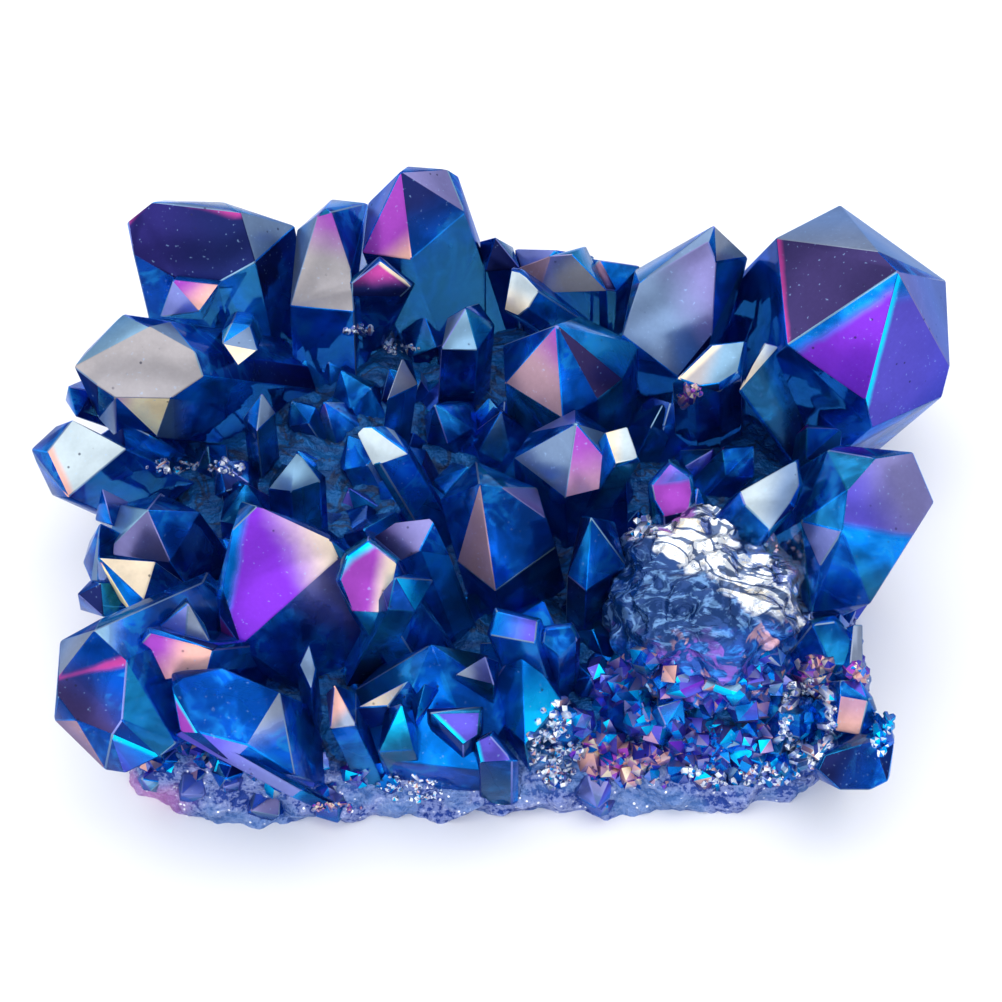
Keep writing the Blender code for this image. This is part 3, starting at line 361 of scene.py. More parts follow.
    Crystal("nub_a", (-43.3, 11.5), 6, (50, 160), 2,
        ring=((-43.6, 10.1), (-42.5, 8.4), (-41, 11), (-41.9, 12.1)),
        paints=(Paint((-42.7, 10.6), NAVY),)),
    Crystal("nub_b", (-42.4, -9.3), 6, (50, 180), 2,
        ring=((-41.1, -7.9), (-40.1, -8.2), (-39.8, -11.6), (-42.1, -10.9)),
        paints=(Paint((-41.2, -9.8), INK),)),
    Crystal("lilac", (-39.9, 1.3), 6, (50, 150), 2,
        ring=((-38.5, 0.5), (-38.9, -2.4), (-40.6, -1.9), (-40.1, -0.2)),
        paints=(Paint((-39.4, 0.4), LILAC, NAVY, ((-39.4, 0.4), (-39.4, -1))),)),
    Crystal("lens", (-19.2, -14.4), 7, (30, 90), 2.4, length=12, flare=0.3,
        face=(12, 60, 0, ((-19.2, -14.4), (-18.6, -16.7), (-19, -18.8), (-20.1, -16.4))),
        paints=(Paint((-19.2, -16.6), SILVER),)),
    Crystal("strip", (-16.7, -18.4), 4, (40, 110), 3,
        ring=((-17.5, -19.2), (-17.1, -22.7), (-14.5, -22.4), (-14.5, -19.1)),
        paints=(Paint((-16.9, -20.4), LILAC),
            Paint((-15.6, -20.6), PEACH, GREY, ((-16, -20), (-14.8, -21))))),
    Crystal("dome", (-7, -14.3), 5, (25, 100), 6, length=20,
        ring=((-14.6, -18.9), (-12, -26), (-2, -27), (1.5, -20), (-1.1, -15.4), (-12.1, -16.4)),
        paints=(Paint((-8, -22), COBALT, BLUE, ((-8, -16), (-8, -22))),)),
    Crystal("cream_strip", (-9.3, -17.9), 4.5, (40, 120), 2, length=12,
        ring=((-14.6, -20.7), (-11.3, -20.5), (-9, -18.6)),
        paints=(Paint((-11.6, -19.7), BEIGE, CREAM, ((-10, -18.6), (-14, -20.5))),)),
    Crystal("cyan_a", (-7.6, -18.2), 5, (25, 100), 4,
        ring=((-9.1, -19.9), (-8.6, -22.1), (-6.1, -18.9)),
        paints=(Paint((-7.7, -20), CYAN, BLUE, ((-8.5, -21), (-6.5, -19))),)),
    Crystal("cyan_b", (-10, -20.2), 4, (25, 110), 4,
        ring=((-11.6, -20.7), (-12.3, -25.1), (-8.8, -24.9), (-8.6, -22.4)),
        paints=(Paint((-10.4, -22.9), CYAN, TEAL, ((-11, -21.5), (-9.5, -24.8))),)),
    Crystal("violet_b", (-7.1, -21.2), 3, (25, 90), 3, length=12, flare=0.4,
        face=(15, 270, 0, ((-7.1, -21.2), (-2.1, -21.1), (-2.3, -23.4), (-3.8, -24.4))),
        paints=(Paint((-3.9, -22.4), VIOLET, rim=CYAN, edge=((-7.1, -21.2), (-3.8, -24.4)), width=0.6),)),
    Crystal("violet_c", (-1.1, -23.5), 1.5, (25, 90), 3, length=12, flare=0.4,
        face=(25, 200, 0, ((-2.6, -24.1), (-1.1, -23.5), (1.1, -26), (-2.1, -26.2))),
        paints=(Paint((-1.1, -25), VIOLET, rim=CYAN, edge=((-2.6, -24.1), (-2.1, -26.2)), width=0.6),)),
    Crystal("lilac_point", (-1.6, -15.5), 6, (35, 90), 3, length=12,
        ring=((-4.6, -17.4), (-0.7, -18.4), (-0.2, -16)),
        paints=(Paint((-2.2, -17), WHITE, LILAC, ((-4, -17.2), (-1.2, -17))),)),
    Crystal("violet_plate", (-0.4, -11.1), 9, (40, 110), 3, flare=0.4,
        face=(15, 250, 0, ((-0.4, -11.1), (3.6, -12.1), (3.4, -14.2), (-1.1, -13.4))),
        paints=(Paint((1.4, -12.7), VIOLET, BLUE, ((3, -13), (-0.5, -12))),)),
    Crystal("low_body", (2, -14), 5, (30, 100), 6, length=18,
        ring=((-2.1, -14.2), (-2, -20), (2.4, -24.4), (6.1, -19.9), (4.4, -14.4)),
        paints=(Paint((-0.3, -17), BLUE), Paint((3, -18), BLUE, CYAN, ((1.5, -16), (4, -24))))),
    Crystal("navy_plate", (5, -12.7), 7, (30, 90), 3, flare=0.4,
        face=(10, 270, 0, ((4.4, -12.9), (6.9, -12.6), (7.6, -13.9), (5.9, -15.5), (4.2, -14.2))),
        paints=(Paint((5.8, -13.9), NAVY),)),
    Crystal("navy_point", (9, -1.6), 10, (35, 90), length=16,
        ring=((6.6, -7.4), (8.5, -9), (12.5, -6.4), (11.4, -2.1), (8, -1.5)),
        paints=(Paint((9, -5.4), NAVY), Paint((10.6, -5), COBALT))),
    Crystal("white_patch", (12.6, 7.4), 11, (45, 60), 3, flare=0.3,
        face=(20, 90, 0, ((10.4, 6.8), (12.6, 7.4), (13.7, 4.3), (11.4, 3.8))),
        paints=(Paint((12, 5.6), WHITE, CREAM, ((12.5, 5.6), (10.8, 5.6))),)),
    Crystal("corner_peach", (35.9, -17.9), 3, (18, 20), 3, length=10,
        face=(20, 200, 0, ((33.9, -19.4), (36.7, -19.9), (35.9, -23.4), (33.4, -22.9))),
        ring=((33.9, -17.9, -1), (35.9, -17.9, -1), (37.2, -19.6, -1.5), (38, -22, -3)),
        paints=(Paint((35, -21.4), SALMON, PEACH, ((35, -20), (34.6, -22.8))), Paint((35.3, -18.7), VIOLET),
            Paint((37, -21), BLUE))),
    Crystal("corner_blue", (38, -25), 1.5, (10, 345), 4, length=9,
        face=(15, 200, 0, ((32.4, -25.4), (35.9, -24.4), (37.4, -24.1), (38.7, -28), (36.9, -28.9),
            (33.9, -28.9), (31.7, -26.9))),
        ring=((39.3, -24.4, -2.5), (39.1, -22.1, -4), (38.9, -27.5, -3)),
        paints=(Paint((35.3, -26.7), INK, NAVY, ((33, -26), (38.5, -27.5))),)),
    Crystal("teal_right", (33.4, -12.1), 6, (35, 60), 3, flare=0.5,
        face=(10, 240, 0, ((31.1, -12.4), (33.4, -12.1), (34.9, -13.9), (34.7, -16.4), (32.9, -16.4))),
        paints=(Paint((33.4, -14.4), NAVY, TEAL, ((34, -12), (33, -16))),)),
    Crystal("grey_right", (36.2, -12.4), 5, (25, 30), 3, length=12, flare=0.1,
        face=(30, 30, 0, ((35.3, -12.4), (36.2, -12.4), (36.2, -16.7), (35.7, -17.9), (34.9, -16.7))),
        paints=(Paint((35.7, -14.9), GREY),)),
    Crystal("broken_ledge", (-12.1, 23.9), 9, (40, 60), 3, length=16, flare=0.4,
        face=(25, 280, 0, ((-14.9, 21.8), (-12.1, 23.9), (-8.9, 21.5), (-10.1, 20.4), (-14.9, 20.4))),
        paints=(
            Paint((-12, 21.8), RUBY, INK, ((-12, 23.5), (-12, 21)),
                rim=CREAM, edge=((-12.1, 23.9), (-8.9, 21.5)), width=0.4),)),
    Crystal("nub_c", (-38, 8), 3, (40, 150), 2, length=12,
        ring=((-40.6, 6.3), (-37.5, 4.5), (-35, 6.5), (-36.5, 8.5)),
        paints=(Paint((-38, 6.5), INK),)),
    Crystal("white_shoulder", (26.4, 15.8), 10, (45, 130), 3, flare=0.2,
        face=(20, 60, 0, ((23.9, 11.2), (25.1, 13.6), (26.4, 15.8), (27.7, 15.5), (25.9, 13.8))),
        paints=(Paint((25.8, 13.9), CREAM, WHITE, ((24.3, 12), (27, 15.5))),)),
)

# Mostly near-white films of flecks: painted glints, with a few coloured ones.
WHITE_GLINTS = {FROST: 8, LILAC: 3, SILVER: 2, PEACH: 1, CYAN: 1}
BLUSHES = {PEACH: 3, SALMON: 3, CREAM: 2, MAGENTA: 2, VIOLET: 2, BLUE: 2}
VIOLETS = {VIOLET: 4, MAUVE: 3, BLUE: 4, CYAN: 2, SALMON: 1, LILAC: 2}
BAND_FILMS = {LILAC: 6, MAUVE: 4, SILVER: 2, COBALT: 2, VIOLET: 2, NAVY: 1}
# Brighter films that some bevels get: painted highlights along the crystals' edges.
EDGE_HIGHLIGHT_FILMS = (SILVER, LILAC, BLUE, BLUE, STEEL)


@dataclass(frozen=True)
class Flecks:
    """A patch of fine points, laid out like the named crystals.

    spot: its middle. reach: half its width and half its height, mm. rise: how far its points stand
    out of what they grow on, mm. size: their half-width, mm. films: weighted tones of their faces.
    hollow: share of the reach that stays empty round the middle.
    """

    spot: Spot
    reach: Spot
    rise: float
    count: int
    size: Span
    films: Mixture
    hollow: float = 0.0


FLECKS = (
    Flecks((5.4, -24.4), (2.6, 4.2), 0.8, 90, (0.18, 0.42), WHITE_GLINTS),
    Flecks((30.8, -22), (2.9, 4.6), 0.8, 120, (0.18, 0.42), WHITE_GLINTS, 0.62),
    Flecks((31.6, -21.8), (1.3, 2.2), 0.8, 14, (0.5, 1), {BLUE: 3, COBALT: 3, CYAN: 1}),
    Flecks((31.4, -17.3), (1.8, 1.7), 1, 26, (0.3, 0.75), BLUSHES),
    Flecks((35.4, -17.4), (1.3, 1), 0.8, 12, (0.3, 0.6), BLUSHES),
    Flecks((24, -27.3), (7, 1.2), 0.8, 50, (0.18, 0.42), WHITE_GLINTS),
    Flecks((9.4, -26), (2.2, 1.8), 1.4, 10, (0.7, 1.2), BLUSHES),
    Flecks((13.4, -26.4), (3, 1.6), 1.2, 18, (0.5, 1), BLUSHES),
    Flecks((11, -20.5), (3.6, 4), 1.5, 26, (0.7, 1.3), VIOLETS),
    Flecks((21, -24), (6.5, 2.6), 1.4, 36, (0.6, 1.3), VIOLETS),
    Flecks((9.2, -25.4), (0.2, 0.2), 2.4, 1, (1.4, 1.6), {PEACH: 1, CREAM: 1}),
    Flecks((14.6, -25.2), (0.4, 0.2), 2, 2, (1.2, 1.5), {VIOLET: 2, SALMON: 1}),
    Flecks((24, -26.2), (0.3, 0.2), 2, 1, (1.4, 1.6), {VIOLET: 1, CYAN: 1}),
    Flecks((12.5, -17.6), (2.4, 2), 2, 5, (1.1, 1.6), VIOLETS),
    Flecks((27, -19), (3, 3), 1.6, 6, (1, 1.5), VIOLETS),
    Flecks((38, -22.6), (0.9, 2.6), 0.7, 26, (0.22, 0.45), {CYAN: 3, BLUE: 3, FROST: 2}),
    Flecks((-9, -28.6), (3.4, 1.4), 0.4, 46, (0.14, 0.3), WHITE_GLINTS),
    Flecks((-16.5, -30.6), (2.6, 0.5), 0.4, 16, (0.15, 0.3), BLUSHES),
    Flecks((-32.8, 3.5), (2.6, 0.7), 0.4, 34, (0.12, 0.32), WHITE_GLINTS),
    Flecks((-27.4, 3.3), (2.2, 0.8), 0.4, 22, (0.12, 0.3), WHITE_GLINTS),
    Flecks((-14, 17.3), (1.5, 0.4), 0.4, 18, (0.12, 0.3), WHITE_GLINTS),
    Flecks((-10.1, 15.2), (2.1, 0.5), 0.4, 24, (0.12, 0.3), WHITE_GLINTS),
    Flecks((13.8, -2.7), (1.5, 0.9), 0.8, 10, (0.3, 0.6), WHITE_GLINTS),
    Flecks((18.8, 11), (1.1, 1.2), 0.7, 16, (0.18, 0.42), BLUSHES),
)

# The cluster's outline, in layout positions; the seeded crystals stay inside it.
OUTLINE = (
    (-37.4, 27.9), (-33.8, 29.6), (-26, 29.2), (-20.6, 26.8), (-17, 29.4), (-13.4, 29.2), (-9.5, 33),
    (-5, 32.8), (-1.6, 24.8), (1.4, 24.6), (13.4, 23.2), (21.3, 27.2), (25.2, 23.6), (33.9, 29),
    (44.2, 21.8), (44.6, 13.4), (38.6, 5.6), (41, 4.6), (43, -0.2), (36.6, -11.8), (36.2, -17.8),
    (38.8, -22), (38.8, -28), (28, -30.6), (10, -31.2), (-2, -32), (-27, -31.8), (-33.6, -30),
    (-37.6, -27.2), (-44.4, -22), (-44, -14.2), (-39.6, -11.6), (-42.2, -9.4), (-41.8, -6.2),
    (-39.8, -1), (-44.8, 0.8), (-46.6, 5), (-43.2, 8), (-43.4, 12), (-37.8, 18.4), (-35.8, 19.2),
)


@dataclass(frozen=True)
class GrowthFrame:
    """The frame that the crystals are laid out in, and the eye that its layout narrows toward.

    tilt: w above the horizontal. drop: its origin above the flat cut, mm. taper: distance of the
    eye along w, mm. fall: w of the crust surface for each mm of v. climb: w for each mm of height.
    """

    tilt: float = math.radians(50.0)
    drop: float = 12.0
    taper: float = 334.0
    fall: float = -0.839
    climb: float = 1.305

    def world(self) -> Matrix:
        """Matrix from the growth frame to the resting frame, both in mm."""
        turn = Matrix.Rotation(math.radians(90.0) - self.tilt, 4, "X")
        return Matrix.Translation((0.0, 0.0, self.drop)) @ turn

    def eye(self) -> Vector:
        """The eye in the resting frame, mm."""
        return self.world() @ Vector((0.0, 0.0, self.taper))

    def placed(self, u: float, v: float, w: float) -> Vector:
        """Growth-frame point for a layout position at a depth w."""
        k = 1.0 - w / self.taper
        return Vector((u * k, v * k, w))

    def on_plane(self, u: float, v: float, normal: Vector, through: Vector) -> Vector:
        """Finds where the sight line of a layout position meets a plane.

        Args:
            u: layout position across, mm.
            v: the same up the slope.
            normal: the plane's normal.
            through: a point of the plane.

        Returns:
            The point in the growth frame, mm.
        """
        foot = Vector((u, v, 0.0))
        run = Vector((-u / self.taper, -v / self.taper, 1.0))
        return self.placed(u, v, normal.dot(through - foot) / normal.dot(run))

    def layout(self, point: Vector) -> Vector:
        """Finds a point's layout position.

        Args:
            point: the point in the resting frame, mm.

        Returns:
            Its layout position (u, v) and its depth w, mm.
        """
        local = self.world().inverted() @ point
        k = 1.0 - local.z / self.taper
        return Vector((local.x / k, local.y / k, local.z))

    @staticmethod
    def direction(tilt: float, azimuth: float) -> Vector:
        """Unit vector tilted from w toward an azimuth measured from u, both in degrees."""
        tilt, azimuth = math.radians(tilt), math.radians(azimuth)
        flat = math.sin(tilt)
        return Vector((flat * math.cos(azimuth), flat * math.sin(azimuth), math.cos(tilt)))


GROWTH = GrowthFrame()


def inside(corners: Sequence[Spot], u: float, v: float) -> bool:
    """Says whether a layout position lies within a polygon.

    Args:
        corners: the polygon's corners, as layout positions.
        u: layout position across, mm.
        v: the same up the slope.

    Returns:
        Whether it is inside.
    """
    odd = False
    for (u0, v0), (u1, v1) in zip(corners, (*corners[1:], corners[0])):
        if (v0 > v) != (v1 > v) and u < u0 + (u1 - u0) * (v - v0) / (v1 - v0):
            odd = not odd
    return odd


def inside_outline(spot: Vector, margin: float) -> bool:
    """Says whether a layout position lies within the outline.

    Args:
        spot: the layout position.
        margin: the least distance from the outline's edge, mm.

    Returns:
        Whether it does.
    """
    u, v = spot.xy
    closest = math.inf
    for (u0, v0), (u1, v1) in zip(OUTLINE, (*OUTLINE[1:], OUTLINE[0])):
        along = ((u - u0) * (u1 - u0) + (v - v0) * (v1 - v0)) / ((u1 - u0) ** 2 + (v1 - v0) ** 2)
        along = min(1.0, max(0.0, along))
        closest = min(closest, math.hypot(u - u0 - along * (u1 - u0), v - v0 - along * (v1 - v0)))
    return inside(OUTLINE, u, v) and closest > margin


@dataclass
class FaceFilm:
    """The film of one face as it is written on the mesh, in the resting frame.

    first, last: tones at the start and the end of the run. start, end: layout positions of the run,
    or heights (z, z) when falls is true. rim, edge, width: as in Paint.
    """

    first: Tone
    last: Tone
    start: Spot = (0.0, 0.0)
    end: Spot = (1.0, 0.0)
    falls: bool = False
    rim: Tone = BARE
    edge: tuple[Spot, Spot] | None = None
    width: float = 1.0

    SHORTEST_FALL = 0.01
    FAR_FROM_RIM = 9.0

    def along(self, spot: Vector, height: float) -> float:
        """Finds how far a point is along the run.

        Args:
            spot: the point's layout position.
            height: its height, mm.

        Returns:
            0 at the run's start and 1 at its end.
        """
        if self.falls:
            return (self.start[0] - height) / max(self.start[0] - self.end[0], self.SHORTEST_FALL)
        run_u, run_v = self.end[0] - self.start[0], self.end[1] - self.start[1]
        at_u, at_v = spot.x - self.start[0], spot.y - self.start[1]
        return (at_u * run_u + at_v * run_v) / (run_u**2 + run_v**2)

    def beside(self, spot: Vector) -> float:
        """Finds how far a point is from the rim's edge.

        Args:
            spot: the point's layout position.

        Returns:
            The distance over the rim's width; large where there is no rim.
        """
        if self.edge is None:
            return self.FAR_FROM_RIM
        (u0, v0), (u1, v1) = self.edge
        cross = (spot.x - u0) * (v1 - v0) - (spot.y - v0) * (u1 - u0)
        return abs(cross) / math.hypot(u1 - u0, v1 - v0) / self.width


class FilmBook:
    """Every face's film, numbered; a mesh face carries the number in its film layer."""

    LAYER = "film"

    def __init__(self) -> None:
        """Opens the book with the films of the crust, the foil druse and the cut face."""
        self.films: list[FaceFilm] = []
        self.crust = self.enter(FaceFilm(LILAC.value, NAVY.value))
        self.druse = self.enter(FaceFilm(SILVER.value, NAVY.value))
        self.cut = self.enter(FaceFilm(STEEL.value, STEEL.value))

    def enter(self, film: FaceFilm) -> int:
        """Adds a film and returns its number."""
        self.films.append(film)
        return len(self.films) - 1

    def enter_paint(self, paint: Paint) -> int:
        """Adds the film of a named face.

        Args:
            paint: the face's film, as it is laid out.

        Returns:
            The film's number.
        """
        last = (paint.fade or paint.film).value
        start, end = paint.run or (paint.at, (paint.at[0] + 1.0, paint.at[1]))
        rim = paint.rim.value if paint.rim else BARE
        return self.enter(
            FaceFilm(paint.film.value, last, start, end, False, rim, paint.edge, paint.width)
        )


class FilmLottery:
    """Draws a film for a face that no paint names, by how steep it is and how high it stands.

    STEEP and FLAT are upward parts of a face's normal. A face is behind where its normal leans back
    by more than BEHIND, and by BEHIND_RISE of its upward part besides.
    """

    TOPS = {COBALT: 9, TEAL: 6, STEEL: 4, SILVER: 3, GREY: 2, LILAC: 2}
    POINTS = {COBALT: 9, TEAL: 8, NAVY: 6, BLUE: 3, STEEL: 2, VIOLET: 2, PLUM: 1, MAGENTA: 1, SILVER: 1}
    SIDES = {COBALT: 8, TEAL: 6, NAVY: 7, INK: 2, BLUE: 2}
    BACKS = {**SIDES, STEEL: 3, MAUVE: 3, VIOLET: 2, LILAC: 2, PLUM: 2, MAGENTA: 1, BEIGE: 1, ROSE: 1}
    GLINTS = {BLUE: 5, CYAN: 3, VIOLET: 4, LILAC: 4, COBALT: 4, STEEL: 3, MAUVE: 2, SALMON: 1, PEACH: 1,
              WHITE: 1, ORCHID: 1}
    STEEP = 0.35
    FLAT = 0.82
    BEHIND = 0.15
    BEHIND_RISE = 1.2
    PAST_TOP = 2.0

    def __init__(self, seed: int) -> None:
        """Starts the draw."""
        self.rng = random.Random(seed)

    def draw(self, mixture: Mixture) -> Film:
        """One film of a weighted mixture."""
        return self.rng.choices(list(mixture), list(mixture.values()))[0]

    def glint(self, low: float, high: float, mixture: Mixture) -> FaceFilm:
        """The bright film of a fine point's face, for the heights of its lowest and highest corner."""
        top, foot = self.draw(mixture), self.draw(self.SIDES)
        return FaceFilm(top.value, foot.value, (high, 0.0), (low, 0.0), falls=True)

    def film_for(self, normal: Vector, low: float, high: float, calm: bool) -> FaceFilm:
        """Draws the film of a face of a crystal.

        Args:
            normal: the face's normal in the resting frame.
            low: height of the face's lowest corner, mm.
            high: height of its highest corner, mm.
            calm: whether the face takes only the blues of a prism's sides.

        Returns:
            A film that darkens toward the crystal's foot.
        """
        if normal.y > self.BEHIND + self.BEHIND_RISE * max(normal.z, 0.0):
            mixture = self.BACKS
        elif calm or normal.z < self.STEEP:
            mixture = self.SIDES
        elif normal.z > self.FLAT:
            mixture = self.TOPS
        else:
            mixture = self.POINTS
        return self.glint(low, high + self.PAST_TOP, mixture)


@dataclass(frozen=True)
class Edges:
    """The bevelled edges of a crystal: the bevel's width, mm, and the share that keeps its face's film.

    The other bevels get a brighter film, a painted highlight along the edge.
    """

    width: float = 0.10
    share_plain: float = 0.72


def fill_film(bm: BMesh, number: int) -> None:
    """Gives every face the film of one number."""
    layer = bm.faces.layers.int.new(FilmBook.LAYER)
    for face in bm.faces:
        face[layer] = number


def link_object(name: str, data: ID, collection: Collection | None = None) -> Object:
    """A new object in a collection: the scene's own if none is given."""
    obj = bpy.data.objects.new(name, data)
    (bpy.context.scene.collection if collection is None else collection).objects.link(obj)
    return obj


def mesh_of(name: str, bm: BMesh) -> Mesh:
    """A mesh of a bmesh that isn't needed any more."""
    mesh = bpy.data.meshes.new(name)
    bm.to_mesh(mesh)
    bm.free()
    return mesh


class Hull:
    """A closed convex crystal through the outermost of some points, with a film on each face."""

    COPLANAR = math.radians(0.4)
    BELOW = 1.0

    def __init__(self, name: str, points: Sequence[Vector]) -> None:
        """Builds the hull.

        Args:
            name: the crystal's name.
            points: the points in the resting frame, mm.
        """
        self.name = name
        self.bm = bmesh.new()
        verts = [self.bm.verts.new(point * MM) for point in points]
        result = bmesh.ops.convex_hull(self.bm, input=verts)
        inner = result["geom_interior"] + result["geom_unused"]
        spare = {item for item in inner if isinstance(item, BMVert)}
        bmesh.ops.delete(self.bm, geom=[vert for vert in verts if vert in spare], context="VERTS")
        bmesh.ops.dissolve_limit(
            self.bm, angle_limit=self.COPLANAR, verts=self.bm.verts[:], edges=self.bm.edges[:]
        )
        bmesh.ops.recalc_face_normals(self.bm, faces=self.bm.faces[:])
        self.bm.normal_update()
        self.layer = self.bm.faces.layers.int.new(FilmBook.LAYER)

    @staticmethod
    def heights(face: BMFace) -> Span:
        """Heights of a face's lowest and highest corner, mm."""
        ups = [vert.co.z / MM for vert in face.verts]
        return min(ups), max(ups)

    def glaze(self, book: FilmBook, lottery: FilmLottery, mixture: Mixture) -> None:
        """Gives each face of a fine point a bright film of a weighted mixture."""
        for face in self.bm.faces:
            low, high = self.heights(face)
            face[self.layer] = book.enter(lottery.glint(low - self.BELOW, high, mixture))

    def coat(self, book: FilmBook, lottery: FilmLottery, paints: Sequence[Paint] = ()) -> None:
        """Gives each face its film: the lottery's, or that of the paint that names it.

        Args:
            book: takes the films.
            lottery: draws the films that no paint names.
            paints: the films of named faces, which are those in sight of the eye.
        """
        for face in self.bm.faces:
            low, high = self.heights(face)
            film = lottery.film_for(face.normal, max(0.0, low), high, bool(paints))
            face[self.layer] = book.enter(film)
        eye = GROWTH.eye() * MM
        shown = {
            face: [GROWTH.layout(vert.co / MM).xy for vert in face.verts]
            for face in self.bm.faces
            if face.normal.dot(eye - face.calc_center_median()) > 0.0
        }
        for paint in paints:
            number = book.enter_paint(paint)
            hit = [face for face, corners in shown.items() if inside(corners, *paint.at)]
            if hit:
                hit[0][self.layer] = number
            else:
                log.warning("%s has no face at %s", self.name, paint.at)

    def edge_highlights(self, book: FilmBook, rng: random.Random, edges: Edges) -> None:
        """Bevels the edges and gives some of the bevels a brighter film, a painted highlight.

        Args:
            book: takes the films.
            rng: the draw.
            edges: the bevel's sizes.
        """
        cut = bmesh.ops.bevel(
            self.bm, geom=self.bm.edges[:], offset=edges.width * MM, segments=1, profile=0.5,
            affect="EDGES", material=-1, clamp_overlap=True,
        )
        # Some bevels get a brighter film: a painted highlight along the edge.
        for face in cut["faces"]:
            if rng.random() >= edges.share_plain:
                tone = rng.choice(EDGE_HIGHLIGHT_FILMS).value
                face[self.layer] = book.enter(FaceFilm(tone, tone))

    def top(self) -> float:
        """Height of its highest corner, mm."""
        return max(vert.co.z for vert in self.bm.verts) / MM

    def across(self) -> Vector:
        """Layout position of its middle."""
        middle = sum((vert.co for vert in self.bm.verts), Vector()) / len(self.bm.verts)
        return GROWTH.layout(middle / MM)

    def to_object(self, collection: Collection) -> Object:
        """The hull as an object in a collection."""
        return link_object(self.name, mesh_of(self.name, self.bm), collection)


@dataclass(frozen=True)
class Crust:
    """The matrix mound, in the resting frame, mm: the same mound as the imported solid's, finer.

    square, skew: how square its plan is, and how much it leans. rough, waves, wave_share: height of
    its lumps, marks per mm and share of the finer ones. grain, ledges, pits: height and marks per mm
    of the relief, which draw stretches along X. cells: across the sheet. skirt: below the flat cut.
    """

    half: Triple = (37.4, 31.2, 8.6)
    centre: Triple = (-0.9, 1.2, 0.0)
    square: float = 0.34
    skew: float = 0.035
    rough: float = 1.0
    waves: Spot = (0.12, 0.33)
    wave_share: float = 1.4
    wave_shift: Triple = (9.0, 3.0, 1.0)
    grain: float = 0.5
    ledges: float = 0.75
    pits: float = 2.1
    draw: float = 0.45
    cells: int = 200
    skirt: float = 1.5
    steps: int = 240

    def squared(self, value: float) -> float:
        """Pushes a unit coordinate outward, so that the mound's plan is squarer."""
        return math.copysign(abs(value) ** self.square, value)

    def surface(self, unit: Vector) -> Vector:
        """Finds the lumpy surface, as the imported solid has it.

        Args:
            unit: the direction from the mound's middle.

        Returns:
            The point of the surface, mm.
        """
        wide, deep, high = self.half
        point = Vector((self.squared(unit.x) * wide, self.squared(unit.y) * deep, unit.z * high))
        lumps = noise.noise(point * self.waves[0])
        lumps += self.wave_share * noise.noise(point * self.waves[1] + Vector(self.wave_shift))
        flat = Vector((unit.x, unit.y, 0.35 * unit.z)).normalized()
        point.y += self.skew * point.x
        return point + flat * lumps * self.rough + Vector(self.centre)

    def fine(self, unit: Vector) -> Vector:
        """Finds the surface with its small ledges, grains and pits.

        Args:
            unit: the direction from the mound's middle.

        Returns:
            The point of the surface, mm.
        """
        point = self.surface(unit)
        flat = Vector((unit.x, unit.y, 0.9 * unit.z)).normalized()
        warp = noise.noise_vector(point * 0.5) * 1.2
        drawn = Vector((point.x * self.draw, point.y, point.z)) + warp
        large, _ = noise.voronoi(drawn * self.ledges)
        small, _ = noise.voronoi(drawn * self.pits)
        relief = 0.9 * (large[1] - large[0]) + 0.35 * (small[1] - small[0])
        relief += 0.5 * noise.noise(point * 1.3) - 0.1
        return point + flat * relief * self.grain

    def even_profile(self) -> tuple[np.ndarray, np.ndarray]:
        """Measures the mound's profile.

        Returns:
            Angles from the mound's top to its foot, and the length of its profile up to each.
        """
        angles = math.pi / 2 * (np.arange(self.steps + 1) / self.steps) ** 3
        reach = np.sin(angles) ** self.square * self.half[1]
        height = np.cos(angles) * self.half[2]
        return angles, np.append(0.0, np.cumsum(np.hypot(np.diff(reach), np.diff(height))))

    def unit(self, x: float, y: float, profile: tuple[np.ndarray, np.ndarray]) -> Vector:
        """Lays a square sheet over the mound.

        Args:
            x: place on the sheet, from -1 to 1.
            y: the same along Y.
            profile: the mound's profile.

        Returns:
            Unit direction of the place on the mound.
        """
        angles, lengths = profile
        share = min(max(abs(x), abs(y)), 1.0)
        if share < 1e-6:
            return Vector((0.0, 0.0, 1.0))
        angle = float(np.interp(share * lengths[-1], lengths, angles))
        east, north = abs(x) ** (1 / self.square), abs(y) ** (1 / self.square)
        out = math.sin(angle) / math.hypot(east, north)
        return Vector((math.copysign(east * out, x), math.copysign(north * out, y), math.cos(angle)))

    def build(self, book: FilmBook, collection: Collection) -> Object:
        """Builds the mound, closed, reaching a little below the flat cut.

        Args:
            book: has its film.
            collection: where it goes.

        Returns:
            The mound.
        """
        bm = bmesh.new()
        across = self.cells + 2
        bmesh.ops.create_grid(bm, x_segments=across, y_segments=across, size=across / self.cells)
        profile = self.even_profile()
        for vert in bm.verts:
            vert.co = self.fine(self.unit(vert.co.x, vert.co.y, profile)) * MM
            if vert.is_boundary:
                vert.co.z = -self.skirt * MM
        bmesh.ops.holes_fill(bm, edges=[edge for edge in bm.edges if edge.is_boundary], sides=0)
        bmesh.ops.triangulate(bm, faces=[face for face in bm.faces if len(face.verts) > 3])
        bmesh.ops.recalc_face_normals(bm, faces=bm.faces[:])
        fill_film(bm, book.crust)
        return link_object("crust_fine", mesh_of("crust_fine", bm), collection)


